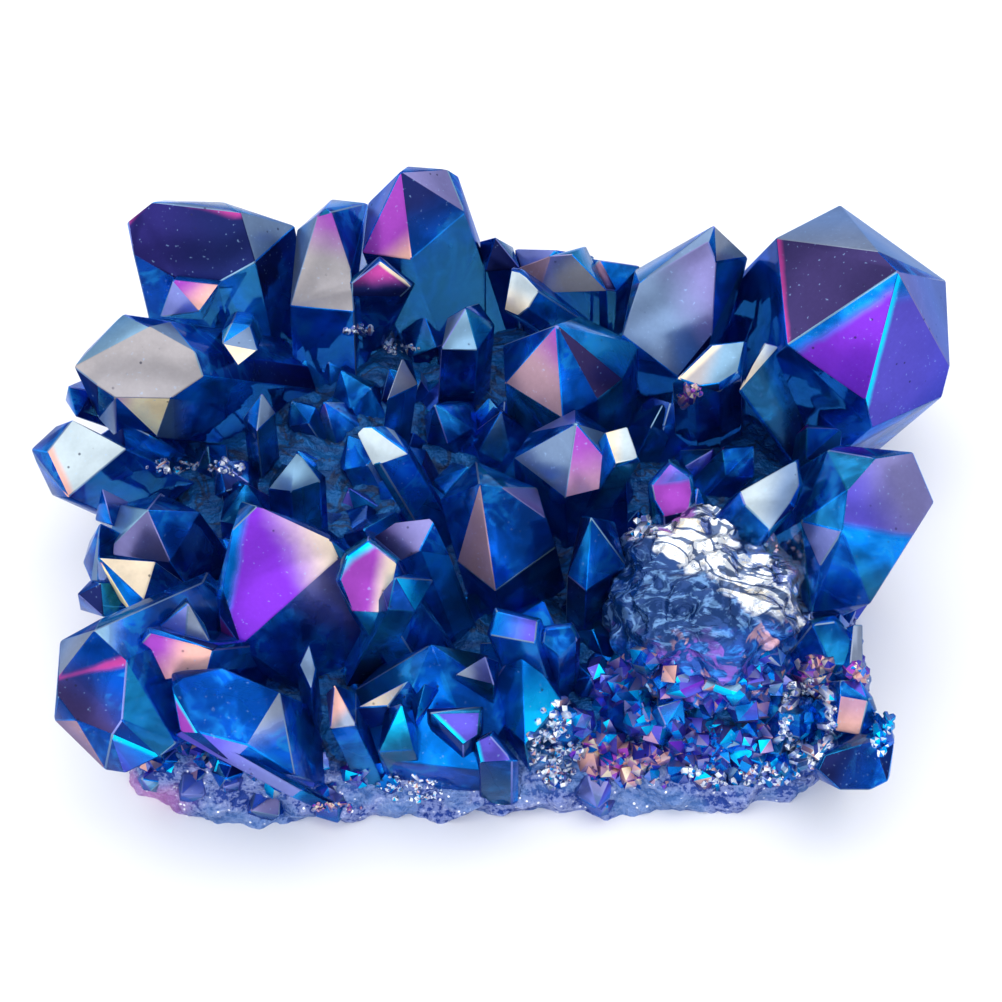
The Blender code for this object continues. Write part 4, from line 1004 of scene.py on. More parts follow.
@dataclass(frozen=True)
class FoilDruse:
    """The crumpled knob of fine druse, in the growth frame, mm.

    rough: height of its swells. crumple: height of its folds, which run long across it; broad_folds
    and small_folds: their marks per radius. subdivisions: of the ball that it starts from.
    """

    centre: Triple = (20.0, -11.0, 9.5)
    radius: float = 9.8
    rough: float = 1.3
    crumple: float = 0.5
    broad_folds: float = 3.6
    small_folds: float = 9.0
    subdivisions: int = 6

    def surface(self, unit: Vector) -> float:
        """Radius of the knob for a unit direction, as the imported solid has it."""
        swell = noise.noise(unit * 2.3 + Vector((4, 4, 4))) + 0.6 * noise.noise(unit * 5.1)
        return self.radius + swell * self.rough

    def fine(self, unit: Vector) -> float:
        """Finds the radius with the crumpled folds.

        Args:
            unit: the direction from the knob's middle.

        Returns:
            The radius, mm.
        """
        drawn = Vector((unit.x * 0.55, unit.y * 1.2, unit.z * 1.2))
        drawn += noise.noise_vector(unit * 2.2) * 0.30 + noise.noise_vector(unit * 6.0) * 0.07
        folds = 1.0 - abs(noise.noise(drawn * self.broad_folds)) * 3.0
        small = 1.0 - abs(noise.noise(drawn * self.small_folds)) * 3.0
        return self.surface(unit) + self.crumple * (0.75 * folds + 0.25 * small - 0.3)

    def build(self, book: FilmBook, collection: Collection) -> Object:
        """Builds the knob, closed.

        Args:
            book: has its film.
            collection: where it goes.

        Returns:
            The knob.
        """
        bm = bmesh.new()
        bmesh.ops.create_icosphere(bm, subdivisions=self.subdivisions, radius=1.0)
        middle = GROWTH.world() @ Vector(self.centre)
        for vert in bm.verts:
            unit = vert.co.normalized()
            vert.co = (middle + unit * self.fine(unit)) * MM
        fill_film(bm, book.druse)
        return link_object("druse_fine", mesh_of("druse_fine", bm), collection)


class NamedCrystals:
    """The crystals that have a place of their own."""

    FLARE_DROP = 2.2

    def face_corners(self, spec: Crystal, tip: Vector, axis: Vector) -> list[Vector]:
        """Finds the corners of an overgrown face and of the prism that spreads below it.

        Args:
            spec: the crystal.
            tip: its point in the growth frame, mm.
            axis: its direction.

        Returns:
            The corners, in the same frame.
        """
        tilt, azimuth, depth, spots = spec.face
        normal = GROWTH.direction(tilt, azimuth)
        start = GROWTH.on_plane(*spots[0], axis, tip - axis * depth) if depth else tip
        corners = [GROWTH.on_plane(u, v, normal, start) for u, v in spots]
        if not spec.flare:
            return corners
        middle = sum(corners, Vector()) / len(corners)
        drop = normal * self.FLARE_DROP * spec.flare
        flared = [corner + (corner - middle).normalized() * spec.flare - drop for corner in corners]
        return corners + flared

    def points(self, spec: Crystal) -> list[Vector]:
        """Finds the hull points of one named crystal.

        Args:
            spec: the crystal.

        Returns:
            The points in the growth frame, mm.
        """
        tip = GROWTH.placed(*spec.tip, GROWTH.fall * spec.tip[1] + GROWTH.climb * spec.rise)
        axis = GROWTH.direction(*spec.lean)
        ring = [
            GROWTH.placed(corner[0], corner[1], tip.z + corner[2]) if len(corner) == 3
            else GROWTH.on_plane(*corner, axis, tip - axis * spec.point)
            for corner in spec.ring
        ]
        found = list(ring)
        if spec.face is None or spec.face[2] > 0:
            found.append(tip)
        for first, second, corners in spec.on:
            normal = (ring[first] - tip).cross(ring[second] - tip).normalized()
            found += [GROWTH.on_plane(u, v, normal, tip) for u, v in corners]
        if spec.face is not None:
            found += self.face_corners(spec, tip, axis)
        return found + [point - axis * spec.length for point in found]

    def hulls(self) -> list[tuple[Hull, tuple[Paint, ...]]]:
        """Every named crystal's hull with its paints."""
        world = GROWTH.world()
        return [(Hull(spec.name, [world @ point for point in self.points(spec)]), spec.paints)
                for spec in CRYSTALS]


@dataclass(frozen=True)
class QuartzPoint:
    """A plain six-sided quartz point, in the resting frame, mm.

    axis: its direction. apothem: half its width across flats. length: how far its prism reaches
    back. turn: about the axis, radians. share: how much its shoulder corners alternate in height.
    """

    HEIGHT_RATIO = 1.27

    tip: Vector
    axis: Vector
    apothem: float
    length: float
    turn: float
    share: float

    def corners(self) -> list[Vector]:
        """Finds its hull points.

        Returns:
            The points, the tip first.
        """
        side = self.axis.orthogonal().normalized()
        side.rotate(Matrix.Rotation(self.turn, 3, self.axis))
        radius = self.apothem / math.cos(math.pi / HEX_SIDES)
        points = [self.tip]
        for k in range(HEX_SIDES):
            arm = side.copy()
            arm.rotate(Matrix.Rotation(k * math.tau / HEX_SIDES, 3, self.axis))
            uneven = 1.0 + (self.share if k % 2 else -self.share)
            drop = self.HEIGHT_RATIO * self.apothem * uneven
            points.append(self.tip + arm * radius - self.axis * drop)
            points.append(self.tip + arm * radius - self.axis * self.length)
        return points


def toward(angle: float, rise: float) -> Vector:
    """Unit vector at an angle round Z, in radians, that rises by so much for each unit outward."""
    return Vector((math.cos(angle), math.sin(angle), rise)).normalized()


@dataclass(frozen=True)
class SmallCrystals:
    """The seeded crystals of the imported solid: between the named ones, round the side and behind.

    fill_count, rim_count, back_count: how many are tried in each place. spacing: least distance of
    two tips, mm. clear: how far the seeded tips stay behind a named point, mm. root: height of the
    fillers' lower end, mm. lowest: least height of a tip round the side, mm. reaches: how far those
    behind may stand out, the tallest first, mm.
    """

    crust: Crust
    fill_count: int = 170
    rim_count: int = 56
    back_count: int = 26
    spacing: float = 2.6
    clear: float = 9.0
    root: float = 3.0
    lowest: float = 1.2
    reaches: tuple[float, ...] = (9.0, 7.0, 5.0, 3.0)

    def hides_named(self, spot: Vector, apothem: float) -> bool:
        """Says whether a small crystal's tip stands in front of a named crystal's point.

        Args:
            spot: the tip's layout position and depth, mm.
            apothem: half its width, mm.

        Returns:
            Whether it does.
        """
        for spec in CRYSTALS:
            corners = list(spec.face[3]) if spec.face else [spec.tip]
            corners += [corner[:2] for corner in spec.ring]
            mid_u = sum(corner[0] for corner in corners) / len(corners)
            mid_v = sum(corner[1] for corner in corners) / len(corners)
            reach = max(math.hypot(c[0] - mid_u, c[1] - mid_v) for c in corners)
            tip_w = GROWTH.fall * spec.tip[1] + GROWTH.climb * spec.rise
            near = math.hypot(spot.x - mid_u, spot.y - mid_v) < 0.85 * reach + 0.3 * apothem
            if near and spot.z > tip_w - self.clear:
                return True
        return False

    def between(self, rng: random.Random) -> list[Corners]:
        """Grows the crystals that fill the gaps between the named ones.

        Args:
            rng: the draw.

        Returns:
            Each one's hull points.
        """
        made, tips = [], []
        for _ in range(self.fill_count):
            x, y = rng.uniform(-35, 35), rng.uniform(-27, 29)
            lean_x, lean_y = x * 0.012 + rng.uniform(-0.4, 0.4), y * 0.012 + rng.uniform(-0.35, 0.35)
            axis = Vector((lean_x, lean_y, 1)).normalized()
            apothem = rng.uniform(1.5, 3.1)
            rise = rng.uniform(1.0, 5.5) * (1.0 - 0.5 * max(0.0, -y / 27))
            tip = Vector((x, y, self.crust.half[2] + rise))
            spot = GROWTH.layout(tip)
            turn, share = rng.uniform(0, math.tau), rng.uniform(0.05, 0.3)
            crowded = any((tip - other).length < self.spacing for other in tips)
            if crowded or self.hides_named(spot, apothem) or not inside_outline(spot, 0.5):
                continue
            tips.append(tip)
            made.append(QuartzPoint(tip, axis, apothem, tip.z - self.root, turn, share).corners())
        return made

    def round_side(self, rng: random.Random) -> list[Corners]:
        """Grows the small crystals round the crust's side.

        Args:
            rng: the draw.

        Returns:
            Each one's hull points.
        """
        made = []
        for _ in range(self.rim_count):
            unit = toward(rng.uniform(0, math.tau), rng.uniform(0.15, 0.75))
            tilt = Vector((rng.uniform(-0.5, 0.5), rng.uniform(-0.5, 0.5), rng.uniform(0, 0.8)))
            axis = (Vector((unit.x, unit.y, 0.25)) + tilt).normalized()
            apothem = rng.uniform(0.9, 1.9)
            tip = self.crust.surface(unit) + axis * apothem * rng.uniform(0.9, 1.6)
            if inside_outline(GROWTH.layout(tip), 0.3) and tip.z > self.lowest:
                turn = rng.uniform(0, math.tau)
                made.append(QuartzPoint(tip, axis, apothem, 6.0, turn, 0.2).corners())
        return made

    def behind(self, rng: random.Random) -> list[Corners]:
        """Grows the medium crystals on the far slope, each as tall as the outline leaves it.

        Args:
            rng: the draw.

        Returns:
            Each one's hull points.
        """
        made = []
        for _ in range(self.back_count):
            unit = toward(rng.uniform(math.radians(25), math.radians(155)), rng.uniform(0.3, 0.95))
            tilt = Vector((rng.uniform(-0.3, 0.3), rng.uniform(-0.2, 0.2), 0))
            axis = (Vector((unit.x * 0.7, unit.y, 0.3 + unit.z * 0.8)) + tilt).normalized()
            apothem = rng.uniform(2.0, 3.8)
            for reach in self.reaches:
                tip = self.crust.surface(unit) + axis * reach
                if inside_outline(GROWTH.layout(tip), 0.6 * apothem):
                    turn = rng.uniform(0, math.tau)
                    made.append(QuartzPoint(tip, axis, apothem, reach + 8.0, turn, 0.2).corners())
                    break
        return made

    def hulls(self) -> list[Hull]:
        """Every seeded crystal's hull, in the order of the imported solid's draws."""
        rng = random.Random(SEED)
        points = self.between(rng) + self.round_side(rng) + self.behind(rng)
        return [Hull(f"small_{number:03d}", corners) for number, corners in enumerate(points)]


@dataclass(frozen=True)
class FineDruse:
    """Fine quartz points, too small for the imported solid: on the crust and at the foil knob's foot.

    crust_count, knob_count: how many are tried. lowest, knob_lowest, fleck_lowest: least heights of
    the points, mm. bright_below: layout v under which they are bright. size: their apothem, mm.
    """

    crust: Crust
    knob: FoilDruse
    crust_count: int = 560
    knob_count: int = 60
    lowest: float = 4.4
    knob_lowest: float = 1.5
    fleck_lowest: float = 1.8
    bright_below: float = -12.0
    size: Span = (0.35, 1.15)

    def point(self, base: Vector, out: Vector, rng: random.Random) -> list[Vector]:
        """Grows one fine quartz point from a spot of the surface.

        Args:
            base: the spot, mm.
            out: the direction out of the surface.
            rng: the draw.

        Returns:
            Its hull points.
        """
        lean = Vector((rng.uniform(-0.7, 0.7), rng.uniform(-0.7, 0.7), rng.uniform(-0.3, 0.7)))
        axis = (out + lean).normalized()
        apothem = rng.uniform(*self.size)
        tip = base + axis * apothem * rng.uniform(0.7, 1.5)
        turn = rng.uniform(0, math.tau)
        return QuartzPoint(tip, axis, apothem, 2.6 * apothem + 1.0, turn, 0.25).corners()

    def over_crust(self, rng: random.Random) -> list[Corners]:
        """Grows points over the crust's shoulder, closer together toward its right front.

        Args:
            rng: the draw.

        Returns:
            Each one's hull points.
        """
        made = []
        for _ in range(self.crust_count):
            angle = rng.uniform(0, math.tau)
            if rng.random() < 0.5:
                angle = rng.uniform(math.radians(-95), math.radians(-5))
            unit = toward(angle, rng.uniform(0.4, 1.2))
            out = Vector((unit.x, unit.y, 0.3 + unit.z)).normalized()
            corners = self.point(self.crust.surface(unit), out, rng)
            if inside_outline(GROWTH.layout(corners[0]), -0.4) and corners[0].z > self.lowest:
                made.append(corners)
        return made

    def round_knob(self, rng: random.Random) -> list[Corners]:
        """Grows points round the lower half of the foil knob.

        Args:
            rng: the draw.

        Returns:
            Each one's hull points.
        """
        made = []
        middle = GROWTH.world() @ Vector(self.knob.centre)
        turn = GROWTH.world().to_3x3()
        for _ in range(self.knob_count):
            around = rng.uniform(math.radians(205), math.radians(335))
            out = turn @ toward(around, rng.uniform(-0.1, 1.1))
            base = middle + out * (self.knob.surface(out) + 0.2)
            if base.z > self.knob_lowest:
                made.append(self.point(base, out, rng))
        return made

    def flecks(self, skin: BVHTree) -> list[tuple[Hull, Mixture]]:
        """Grows the patches of flecks.

        Args:
            skin: what has grown so far; a fleck stands where a sight line meets it.

        Returns:
            A hull and its films for each fleck.
        """
        rng = random.Random(SEED + 4)
        world, eye = GROWTH.world(), GROWTH.eye() * MM
        made = []
        for patch in (patch for patch in FLECKS for _ in range(patch.count)):
            around, share = rng.uniform(0, math.tau), rng.uniform(patch.hollow**2, 1.0) ** 0.5
            u = patch.spot[0] + patch.reach[0] * share * math.cos(around)
            v = patch.spot[1] + patch.reach[1] * share * math.sin(around)
            side = Vector((rng.uniform(-0.6, 0.6), rng.uniform(-0.6, 0.6), 1.0)).normalized()
            lean = world.to_3x3() @ side
            apothem, rise = rng.uniform(*patch.size), rng.uniform(0.4, 1.0)
            turn = rng.uniform(0, math.tau)
            aim = (world @ GROWTH.placed(u, v, 0.0) * MM - eye).normalized()
            spot = skin.ray_cast(eye, aim)[0]
            if spot is not None and spot.z > self.fleck_lowest * MM:
                tip = spot / MM + lean * patch.rise * rise
                fleck = QuartzPoint(tip, lean, apothem, patch.rise + 1.5, turn, 0.25)
                made.append((Hull(f"fleck_{len(made):03d}", fleck.corners()), patch.films))
        return made

    def hulls(self) -> list[Hull]:
        """Every fine point's hull but the flecks'."""
        rng = random.Random(SEED + 1)
        points = self.over_crust(rng) + self.round_knob(rng)
        return [Hull(f"fine_{number:03d}", corners) for number, corners in enumerate(points)]


class Cluster:
    """The whole specimen: grows its pieces, joins them into one skin and writes their films on it."""

    NAME = "aura_quartz_cluster"
    BAND_TOP = 5.5
    FINE_EDGES = Edges(0.08)
    SMOOTH_ABOVE = math.radians(38)
    CUT_REACH = 1e-7

    def __init__(self) -> None:
        """Sets out the parts of the specimen."""
        self.book = FilmBook()
        self.crust = Crust()
        self.knob = FoilDruse()
        self.small = SmallCrystals(self.crust)
        self.fine = FineDruse(self.crust, self.knob)
        self.pieces = bpy.data.collections.new("grown_pieces")
        bpy.context.scene.collection.children.link(self.pieces)

    def grow(self) -> Object:
        """Grows every piece and joins them.

        Returns:
            The joined cluster.
        """
        lottery = FilmLottery(SEED + 2)
        # The draw of which bevels get a painted highlight.
        edge_highlights = random.Random(SEED + 3)
        base = self.crust.build(self.book, bpy.context.scene.collection)
        self.knob.build(self.book, self.pieces)
        for hull, paints in NamedCrystals().hulls():
            hull.coat(self.book, lottery, paints)
            hull.edge_highlights(self.book, edge_highlights, Edges())
            hull.to_object(self.pieces)
        for hull in self.small.hulls():
            if hull.top() < self.BAND_TOP:
                hull.glaze(self.book, lottery, BAND_FILMS)
            else:
                hull.coat(self.book, lottery)
            hull.edge_highlights(self.book, edge_highlights, self.FINE_EDGES)
            hull.to_object(self.pieces)
        for hull in self.fine.hulls():
            if hull.across().y < self.fine.bright_below:
                hull.glaze(self.book, lottery, lottery.GLINTS)
            else:
                hull.coat(self.book, lottery)
            hull.to_object(self.pieces)
        for hull, films in self.fine.flecks(self.skin(base)):
            hull.glaze(self.book, lottery, films)
            hull.to_object(self.pieces)
        return self.join(base)

    def skin(self, base: Object) -> BVHTree:
        """Gathers the surface of everything grown so far.

        Args:
            base: the crust.

        Returns:
            The surface, in metres.
        """
        verts, faces = [], []
        for piece in (base, *self.pieces.objects):
            start = len(verts)
            verts.extend(vert.co.copy() for vert in piece.data.vertices)
            faces.extend([start + corner for corner in face.vertices] for face in piece.data.polygons)
        return BVHTree.FromPolygons(verts, faces)

    def unite(self, base: Object) -> BMesh:
        """Joins the pieces with the crust and removes them.

        Args:
            base: the crust.

        Returns:
            The joined mesh, not yet cut flat.
        """
        grown = base.modifiers.new("grown_together", "BOOLEAN")
        grown.operation = "UNION"
        grown.solver = "MANIFOLD"
        grown.operand_type = "COLLECTION"
        grown.collection = self.pieces
        bpy.context.view_layer.update()
        seen = base.evaluated_get(bpy.context.evaluated_depsgraph_get())
        bm = bmesh.new()
        bm.from_mesh(bpy.data.meshes.new_from_object(seen))
        for obj in (*self.pieces.objects, base):
            bpy.data.objects.remove(obj)
        bpy.data.collections.remove(self.pieces)
        return bm

    def join(self, base: Object) -> Object:
        """Joins the pieces with the crust, cuts the foot flat and keeps the outer skin alone.

        Args:
            base: the crust.

        Returns:
            The joined cluster.
        """
        bm = self.unite(base)
        layer = bm.faces.layers.int[FilmBook.LAYER]
        bmesh.ops.bisect_plane(
            bm, geom=bm.verts[:] + bm.edges[:] + bm.faces[:], dist=self.CUT_REACH,
            plane_co=(0, 0, 0), plane_no=(0, 0, -1), clear_outer=True,
        )
        known = set(bm.faces)
        bmesh.ops.holes_fill(bm, edges=[edge for edge in bm.edges if edge.is_boundary], sides=0)
        for face in bm.faces:
            if face not in known:
                face[layer] = self.book.cut
        self.keep_skin(bm)
        bmesh.ops.triangulate(bm, faces=[face for face in bm.faces if len(face.verts) > 4])
        self.lay_films(bm, layer)
        skin = mesh_of(self.NAME, bm)
        skin.validate()
        skin.set_sharp_from_angle(angle=self.SMOOTH_ABOVE)
        return link_object(self.NAME, skin)

    @staticmethod
    def keep_skin(bm: BMesh) -> None:
        """Deletes every island of faces but the largest, which is the outer skin.

        Args:
            bm: the joined mesh.
        """
        seen: set[BMFace] = set()
        islands = []
        for start in bm.faces:
            if start in seen:
                continue
            seen.add(start)
            island, front = [], [start]
            while front:
                current = front.pop()
                island.append(current)
                for other in (face for edge in current.edges for face in edge.link_faces):
                    if other not in seen:
                        seen.add(other)
                        front.append(other)
            islands.append(island)
        islands.sort(key=len, reverse=True)
        log.info("%d sealed pockets left out", len(islands) - 1)
        bmesh.ops.delete(bm, geom=[face for island in islands[1:] for face in island], context="FACES")

    @staticmethod
    def standing(vert: BMVert) -> float:
        """Measures how far a point stands out of the surface round it.

        Args:
            vert: the point.

        Returns:
            The height over the mean length of its edges; below 0 in a hollow.
        """
        around = [edge.other_vert(vert).co for edge in vert.link_edges]
        middle = sum(around, Vector()) / max(len(around), 1)
        span = sum((co - vert.co).length for co in around) / max(len(around), 1)
        return vert.normal.dot(vert.co - middle) / max(span, 1e-7)

    def lay_films(self, bm: BMesh, layer: Any) -> None:
        """Writes each face's film on its corners, and how far each point stands out of the surface.

        Args:
            bm: the joined mesh.
            layer: its layer of film numbers.
        """
        first = bm.loops.layers.float_color.new("film_first")
        last = bm.loops.layers.float_color.new("film_last")
        rim = bm.loops.layers.float_color.new("film_rim")
        place = bm.loops.layers.float_vector.new("film_place")
        finish_of = {
            self.book.crust: Finish.CRUST, self.book.druse: Finish.FOIL, self.book.cut: Finish.CUT,
        }
        bm.normal_update()
        spots = {vert: (GROWTH.layout(vert.co / MM), self.standing(vert)) for vert in bm.verts}
        for face in bm.faces:
            film = self.book.films[face[layer]]
            face.material_index = finish_of.get(face[layer], Finish.QUARTZ)
            face.smooth = face.material_index == Finish.FOIL
            for loop in face.loops:
                spot, standing = spots[loop.vert]
                loop[first], loop[last], loop[rim] = film.first, film.last, film.rim
                along = film.along(spot, loop.vert.co.z / MM)
                loop[place] = Vector((along, film.beside(spot), standing))


class Socket:
    """A node socket in an expression: its operators add Math nodes."""

    def __init__(self, board: "Board", socket: NodeSocket) -> None:
        """Keeps the board and the socket."""
        self.board = board
        self.socket = socket

    def __add__(self, other: "Socket | float") -> "Socket":
        """Sum."""
        return self.board.math("ADD", self, other)

    def __sub__(self, other: "Socket | float") -> "Socket":
        """Difference."""
        return self.board.math("SUBTRACT", self, other)

    def __rsub__(self, other: "Socket | float") -> "Socket":
        """Difference from a number."""
        return self.board.math("SUBTRACT", other, self)

    def __mul__(self, other: "Socket | float") -> "Socket":
        """Product."""
        return self.board.math("MULTIPLY", self, other)

    def __pow__(self, other: "Socket | float") -> "Socket":
        """Power."""
        return self.board.math("POWER", self, other)

    __radd__ = __add__
    __rmul__ = __mul__

    def step(self, low: float, high: float) -> "Socket":
        """Rises smoothly between two values.

        Args:
            low: where it starts from 0.
            high: where it reaches 1; below low, the step falls from 1 to 0 between them.

        Returns:
            The step.
        """
        if low > high:
            return 1.0 - self.step(high, low)
        inputs = {"Value": self, "From Min": low, "From Max": high}
        node = self.board.add("ShaderNodeMapRange", {"interpolation_type": "SMOOTHSTEP"}, inputs)
        return self.board.out(node, "Result")


@dataclass(frozen=True)
class Grain:
    """A noise pattern: marks per metre, detail, roughness and twist."""

    scale: float
    detail: float = 2.0
    rough: float = 0.5
    twist: float = 0.0


class Board:
    """A material's or world's node tree with short ways to add to it."""

    def __init__(self, tree: NodeTree) -> None:
        """Clears the tree."""
        self.tree = tree
        tree.nodes.clear()

    def add(
        self, kind: str, settings: dict[str, Any] | None = None, inputs: dict[Any, Any] | None = None
    ) -> Node:
        """Adds a node.

        Args:
            kind: the node's type.
            settings: its settings, set first.
            inputs: values or links of its sockets, by name or number.

        Returns:
            The node.
        """
        node = self.tree.nodes.new(kind)
        for name, value in (settings or {}).items():
            setattr(node, name, value)
        for key, value in (inputs or {}).items():
            if isinstance(value, Socket):
                self.tree.links.new(value.socket, node.inputs[key])
            else:
                node.inputs[key].default_value = value
        return node

    def out(self, node: Node, name: str | int = 0) -> Socket:
        """One output of a node."""
        return Socket(self, node.outputs[name])

    def math(self, operation: str, *values: "Socket | float") -> Socket:
        """A Math node's result."""
        return self.out(self.add("ShaderNodeMath", {"operation": operation}, dict(enumerate(values))))

    def mix(self, factor: Any, a: Any, b: Any, blend: str = "MIX") -> Socket:
        """Two colours mixed."""
        settings = {"data_type": "RGBA", "blend_type": blend, "clamp_factor": True}
        return self.out(self.add("ShaderNodeMix", settings, {0: factor, 6: a, 7: b}), 2)

    def blend(self, factor: Any, a: Any, b: Any) -> Socket:
        """Two numbers mixed."""
        return self.out(self.add("ShaderNodeMix", {"data_type": "FLOAT"}, {0: factor, 2: a, 3: b}), 0)

    def noise(self, at: Socket, grain: Grain) -> Socket:
        """A noise pattern."""
        inputs = {"Vector": at, "Scale": grain.scale, "Detail": grain.detail, "Roughness": grain.rough}
        return self.out(self.add("ShaderNodeTexNoise", {}, {**inputs, "Distortion": grain.twist}), "Fac")

    def dots(self, at: Socket, scale: float, low: float, high: float) -> Socket:
        """Round dots, so many per metre: 1 up to low and 0 from high, distances in cells."""
        node = self.add("ShaderNodeTexVoronoi", {"feature": "F1"}, {"Vector": at, "Scale": scale})
        return self.out(node, "Distance").step(high, low)

    def seams(self, noise: Socket, width: float) -> Socket:
        """Thin lines where a noise crosses its middle; width is of its square."""
        offset = noise - 0.5
        return (offset * offset).step(width, 0.0)

    def shaded(self, colour: Socket, factor: Socket) -> Socket:
        """A colour made lighter or darker by a factor."""
        grey = self.out(self.add("ShaderNodeCombineXYZ", {}, {0: factor, 1: factor, 2: factor}))
        return self.mix(1.0, colour, grey, "MULTIPLY")

    def scaled(self, at: Socket, factors: Triple) -> Socket:
        """Coordinates stretched by a factor on each axis."""
        return self.out(self.add("ShaderNodeVectorMath", {"operation": "MULTIPLY"}, {0: at, 1: factors}))

    def parts(self, vector: Socket) -> tuple[Socket, Socket, Socket]:
        """The three parts of a vector."""
        node = self.add("ShaderNodeSeparateXYZ", {}, {0: vector})
        return self.out(node, 0), self.out(node, 1), self.out(node, 2)

    def place(self) -> Socket:
        """Object coordinates."""
        return self.out(self.add("ShaderNodeTexCoord"), "Object")

    def growth_place(self, at: Socket) -> tuple[Socket, Socket]:
        """Finds the place in the growth frame.

        Args:
            at: Object coordinates.

        Returns:
            Places across and up the slope, in metres.
        """
        east, north, up = self.parts(at)
        tilt = GROWTH.tilt
        return east, north * math.sin(tilt) + (up - GROWTH.drop * MM) * math.cos(tilt)

    def attribute(self, name: str, output: str = "Color") -> Socket:
        """A mesh attribute."""
        return self.out(self.add("ShaderNodeAttribute", {"attribute_name": name}), output)

    def film_place(self) -> tuple[Socket, Socket, Socket]:
        """Place along a film's run, place beside its rim, and how far the surface stands out."""
        return self.parts(self.attribute("film_place", "Vector"))

    def bump(self, strength: float, distance: float, height: Socket) -> Socket:
        """A normal bent by a height."""
        inputs = {"Strength": strength, "Distance": distance, "Height": height}
        return self.out(self.add("ShaderNodeBump", {}, inputs))

    def principled(self, inputs: dict[str, Any]) -> Socket:
        """A Principled shader."""
        return self.out(self.add("ShaderNodeBsdfPrincipled", {}, inputs))

    def show(self, **outputs: Socket) -> None:
        """Ends a material with its surface, and its volume where it has one."""
        self.add("ShaderNodeOutputMaterial", {}, outputs)


def new_board(name: str) -> tuple[Material, Board]:
    """A new material and its board."""
    material = bpy.data.materials.new(name)
    material.use_nodes = True
    return material, Board(material.node_tree)


@dataclass(frozen=True)
class CoatedQuartz:
    """Clear quartz under a vapour film: see-through where it is thin, satin metal where it is thick."""

    ior: float = 1.544
    inner_tint: Tone = (0.12, 0.55, 0.96, 1.0)
    density: float = 70.0
    clear_tint: Tone = (0.10, 0.56, 0.98, 1.0)
    sheen: float = 0.85
    pearl: float = 0.40
    glint_tint: Tone = (0.02, 0.30, 1.0, 1.0)
    edge_tint: Tone = (0.30, 0.50, 0.95, 1.0)
    wisp_tint: Tone = (0.02, 0.40, 0.90, 1.0)
    pit_tint: Tone = (0.02, 0.02, 0.05, 1.0)
    speck_tint: Tone = (0.30, 0.50, 0.80, 1.0)
    clouds: Grain = Grain(260.0, 2.0, 0.55, 0.6)
    veils: Grain = Grain(180.0, 3.0, 0.6, 0.5)
    grits: Grain = Grain(2600.0, 1.0)
    strands: Grain = Grain(150.0, 3.0, 0.6, 1.2)
    strand_width: float = 0.004
    pits_per_metre: float = 700.0
    thin_cover: Span = (0.80, 0.55)
    thick_cover: Span = (0.74, 0.80)
    pearly_cover: Span = (0.89, 0.94)

    def film(self, board: Board, cloud: Socket) -> tuple[Socket, Socket]:
        """Mixes the film from the tones written on the mesh.

        Args:
            board: the material's board.
            cloud: a pattern that makes the fades uneven.

        Returns:
            The film's colour and its cover.
        """
        run, beside, _ = board.film_place()
        along = (run + (cloud - 0.5) * 0.35).step(0.0, 1.0)
        edge = (beside + (cloud - 0.5) * 0.5).step(1.0, 0.25)
        colour = board.mix(along, board.attribute("film_first"), board.attribute("film_last"))
        first, last = board.attribute("film_first", "Alpha"), board.attribute("film_last", "Alpha")
        cover = board.blend(along, first, last)
        colour = board.mix(edge, colour, board.attribute("film_rim"))
        return colour, board.blend(edge, cover, board.attribute("film_rim", "Alpha"))

    def material(self) -> Material:
        """Builds the material.

        Returns:
            The material.
        """
        material, board = new_board("coated_quartz")
        at = board.place()
        cloud, veil, grit = (board.noise(at, each) for each in (self.clouds, self.veils, self.grits))
        colour, cover = self.film(board, cloud)
        clear = cover.step(*self.thin_cover)
        shade = board.blend(veil.step(0.34, 0.66), 0.92 - clear * 0.42, 1.06 + clear * 0.54)
        colour = board.shaded(colour, shade + (grit - 0.5) * 0.14)
        pits = board.dots(at, self.pits_per_metre, 0.06, 0.13) * cloud.step(0.48, 0.58)
        colour = board.mix(pits * 0.75, colour, self.pit_tint)
        colour = board.mix(grit.step(0.69, 0.78) * 0.3, colour, self.speck_tint)
        wisp = board.seams(board.noise(at, self.strands), self.strand_width)
        wisp = wisp * veil.step(0.42, 0.60) * clear
        colour = board.mix(wisp * 0.5, colour, self.wisp_tint)
        normal = board.bump(0.3, 0.0003, veil * 0.35 + grit * 0.03)
        coat = board.principled({
            "Base Color": colour, "Metallic": self.sheen - self.pearl * cover.step(*self.pearly_cover),
            "Roughness": 0.14 + 0.12 * cover + 0.10 * veil, "Specular IOR Level": 0.0,
            "Specular Tint": self.edge_tint, "Normal": normal,
        })
        quartz = board.principled({
            "Base Color": self.clear_tint, "Roughness": 0.05, "IOR": self.ior,
            "Transmission Weight": 1.0, "Specular Tint": self.glint_tint, "Normal": normal,
        })
        thick = board.math("MAXIMUM", cover, cover.step(*self.thick_cover))
        both = board.add("ShaderNodeMixShader", {}, {0: thick, 1: quartz, 2: coat})
        inside = {"Color": self.inner_tint, "Density": self.density}
        volume = board.out(board.add("ShaderNodeVolumeAbsorption", {}, inside))
        board.show(Surface=board.out(both), Volume=volume)
        return material


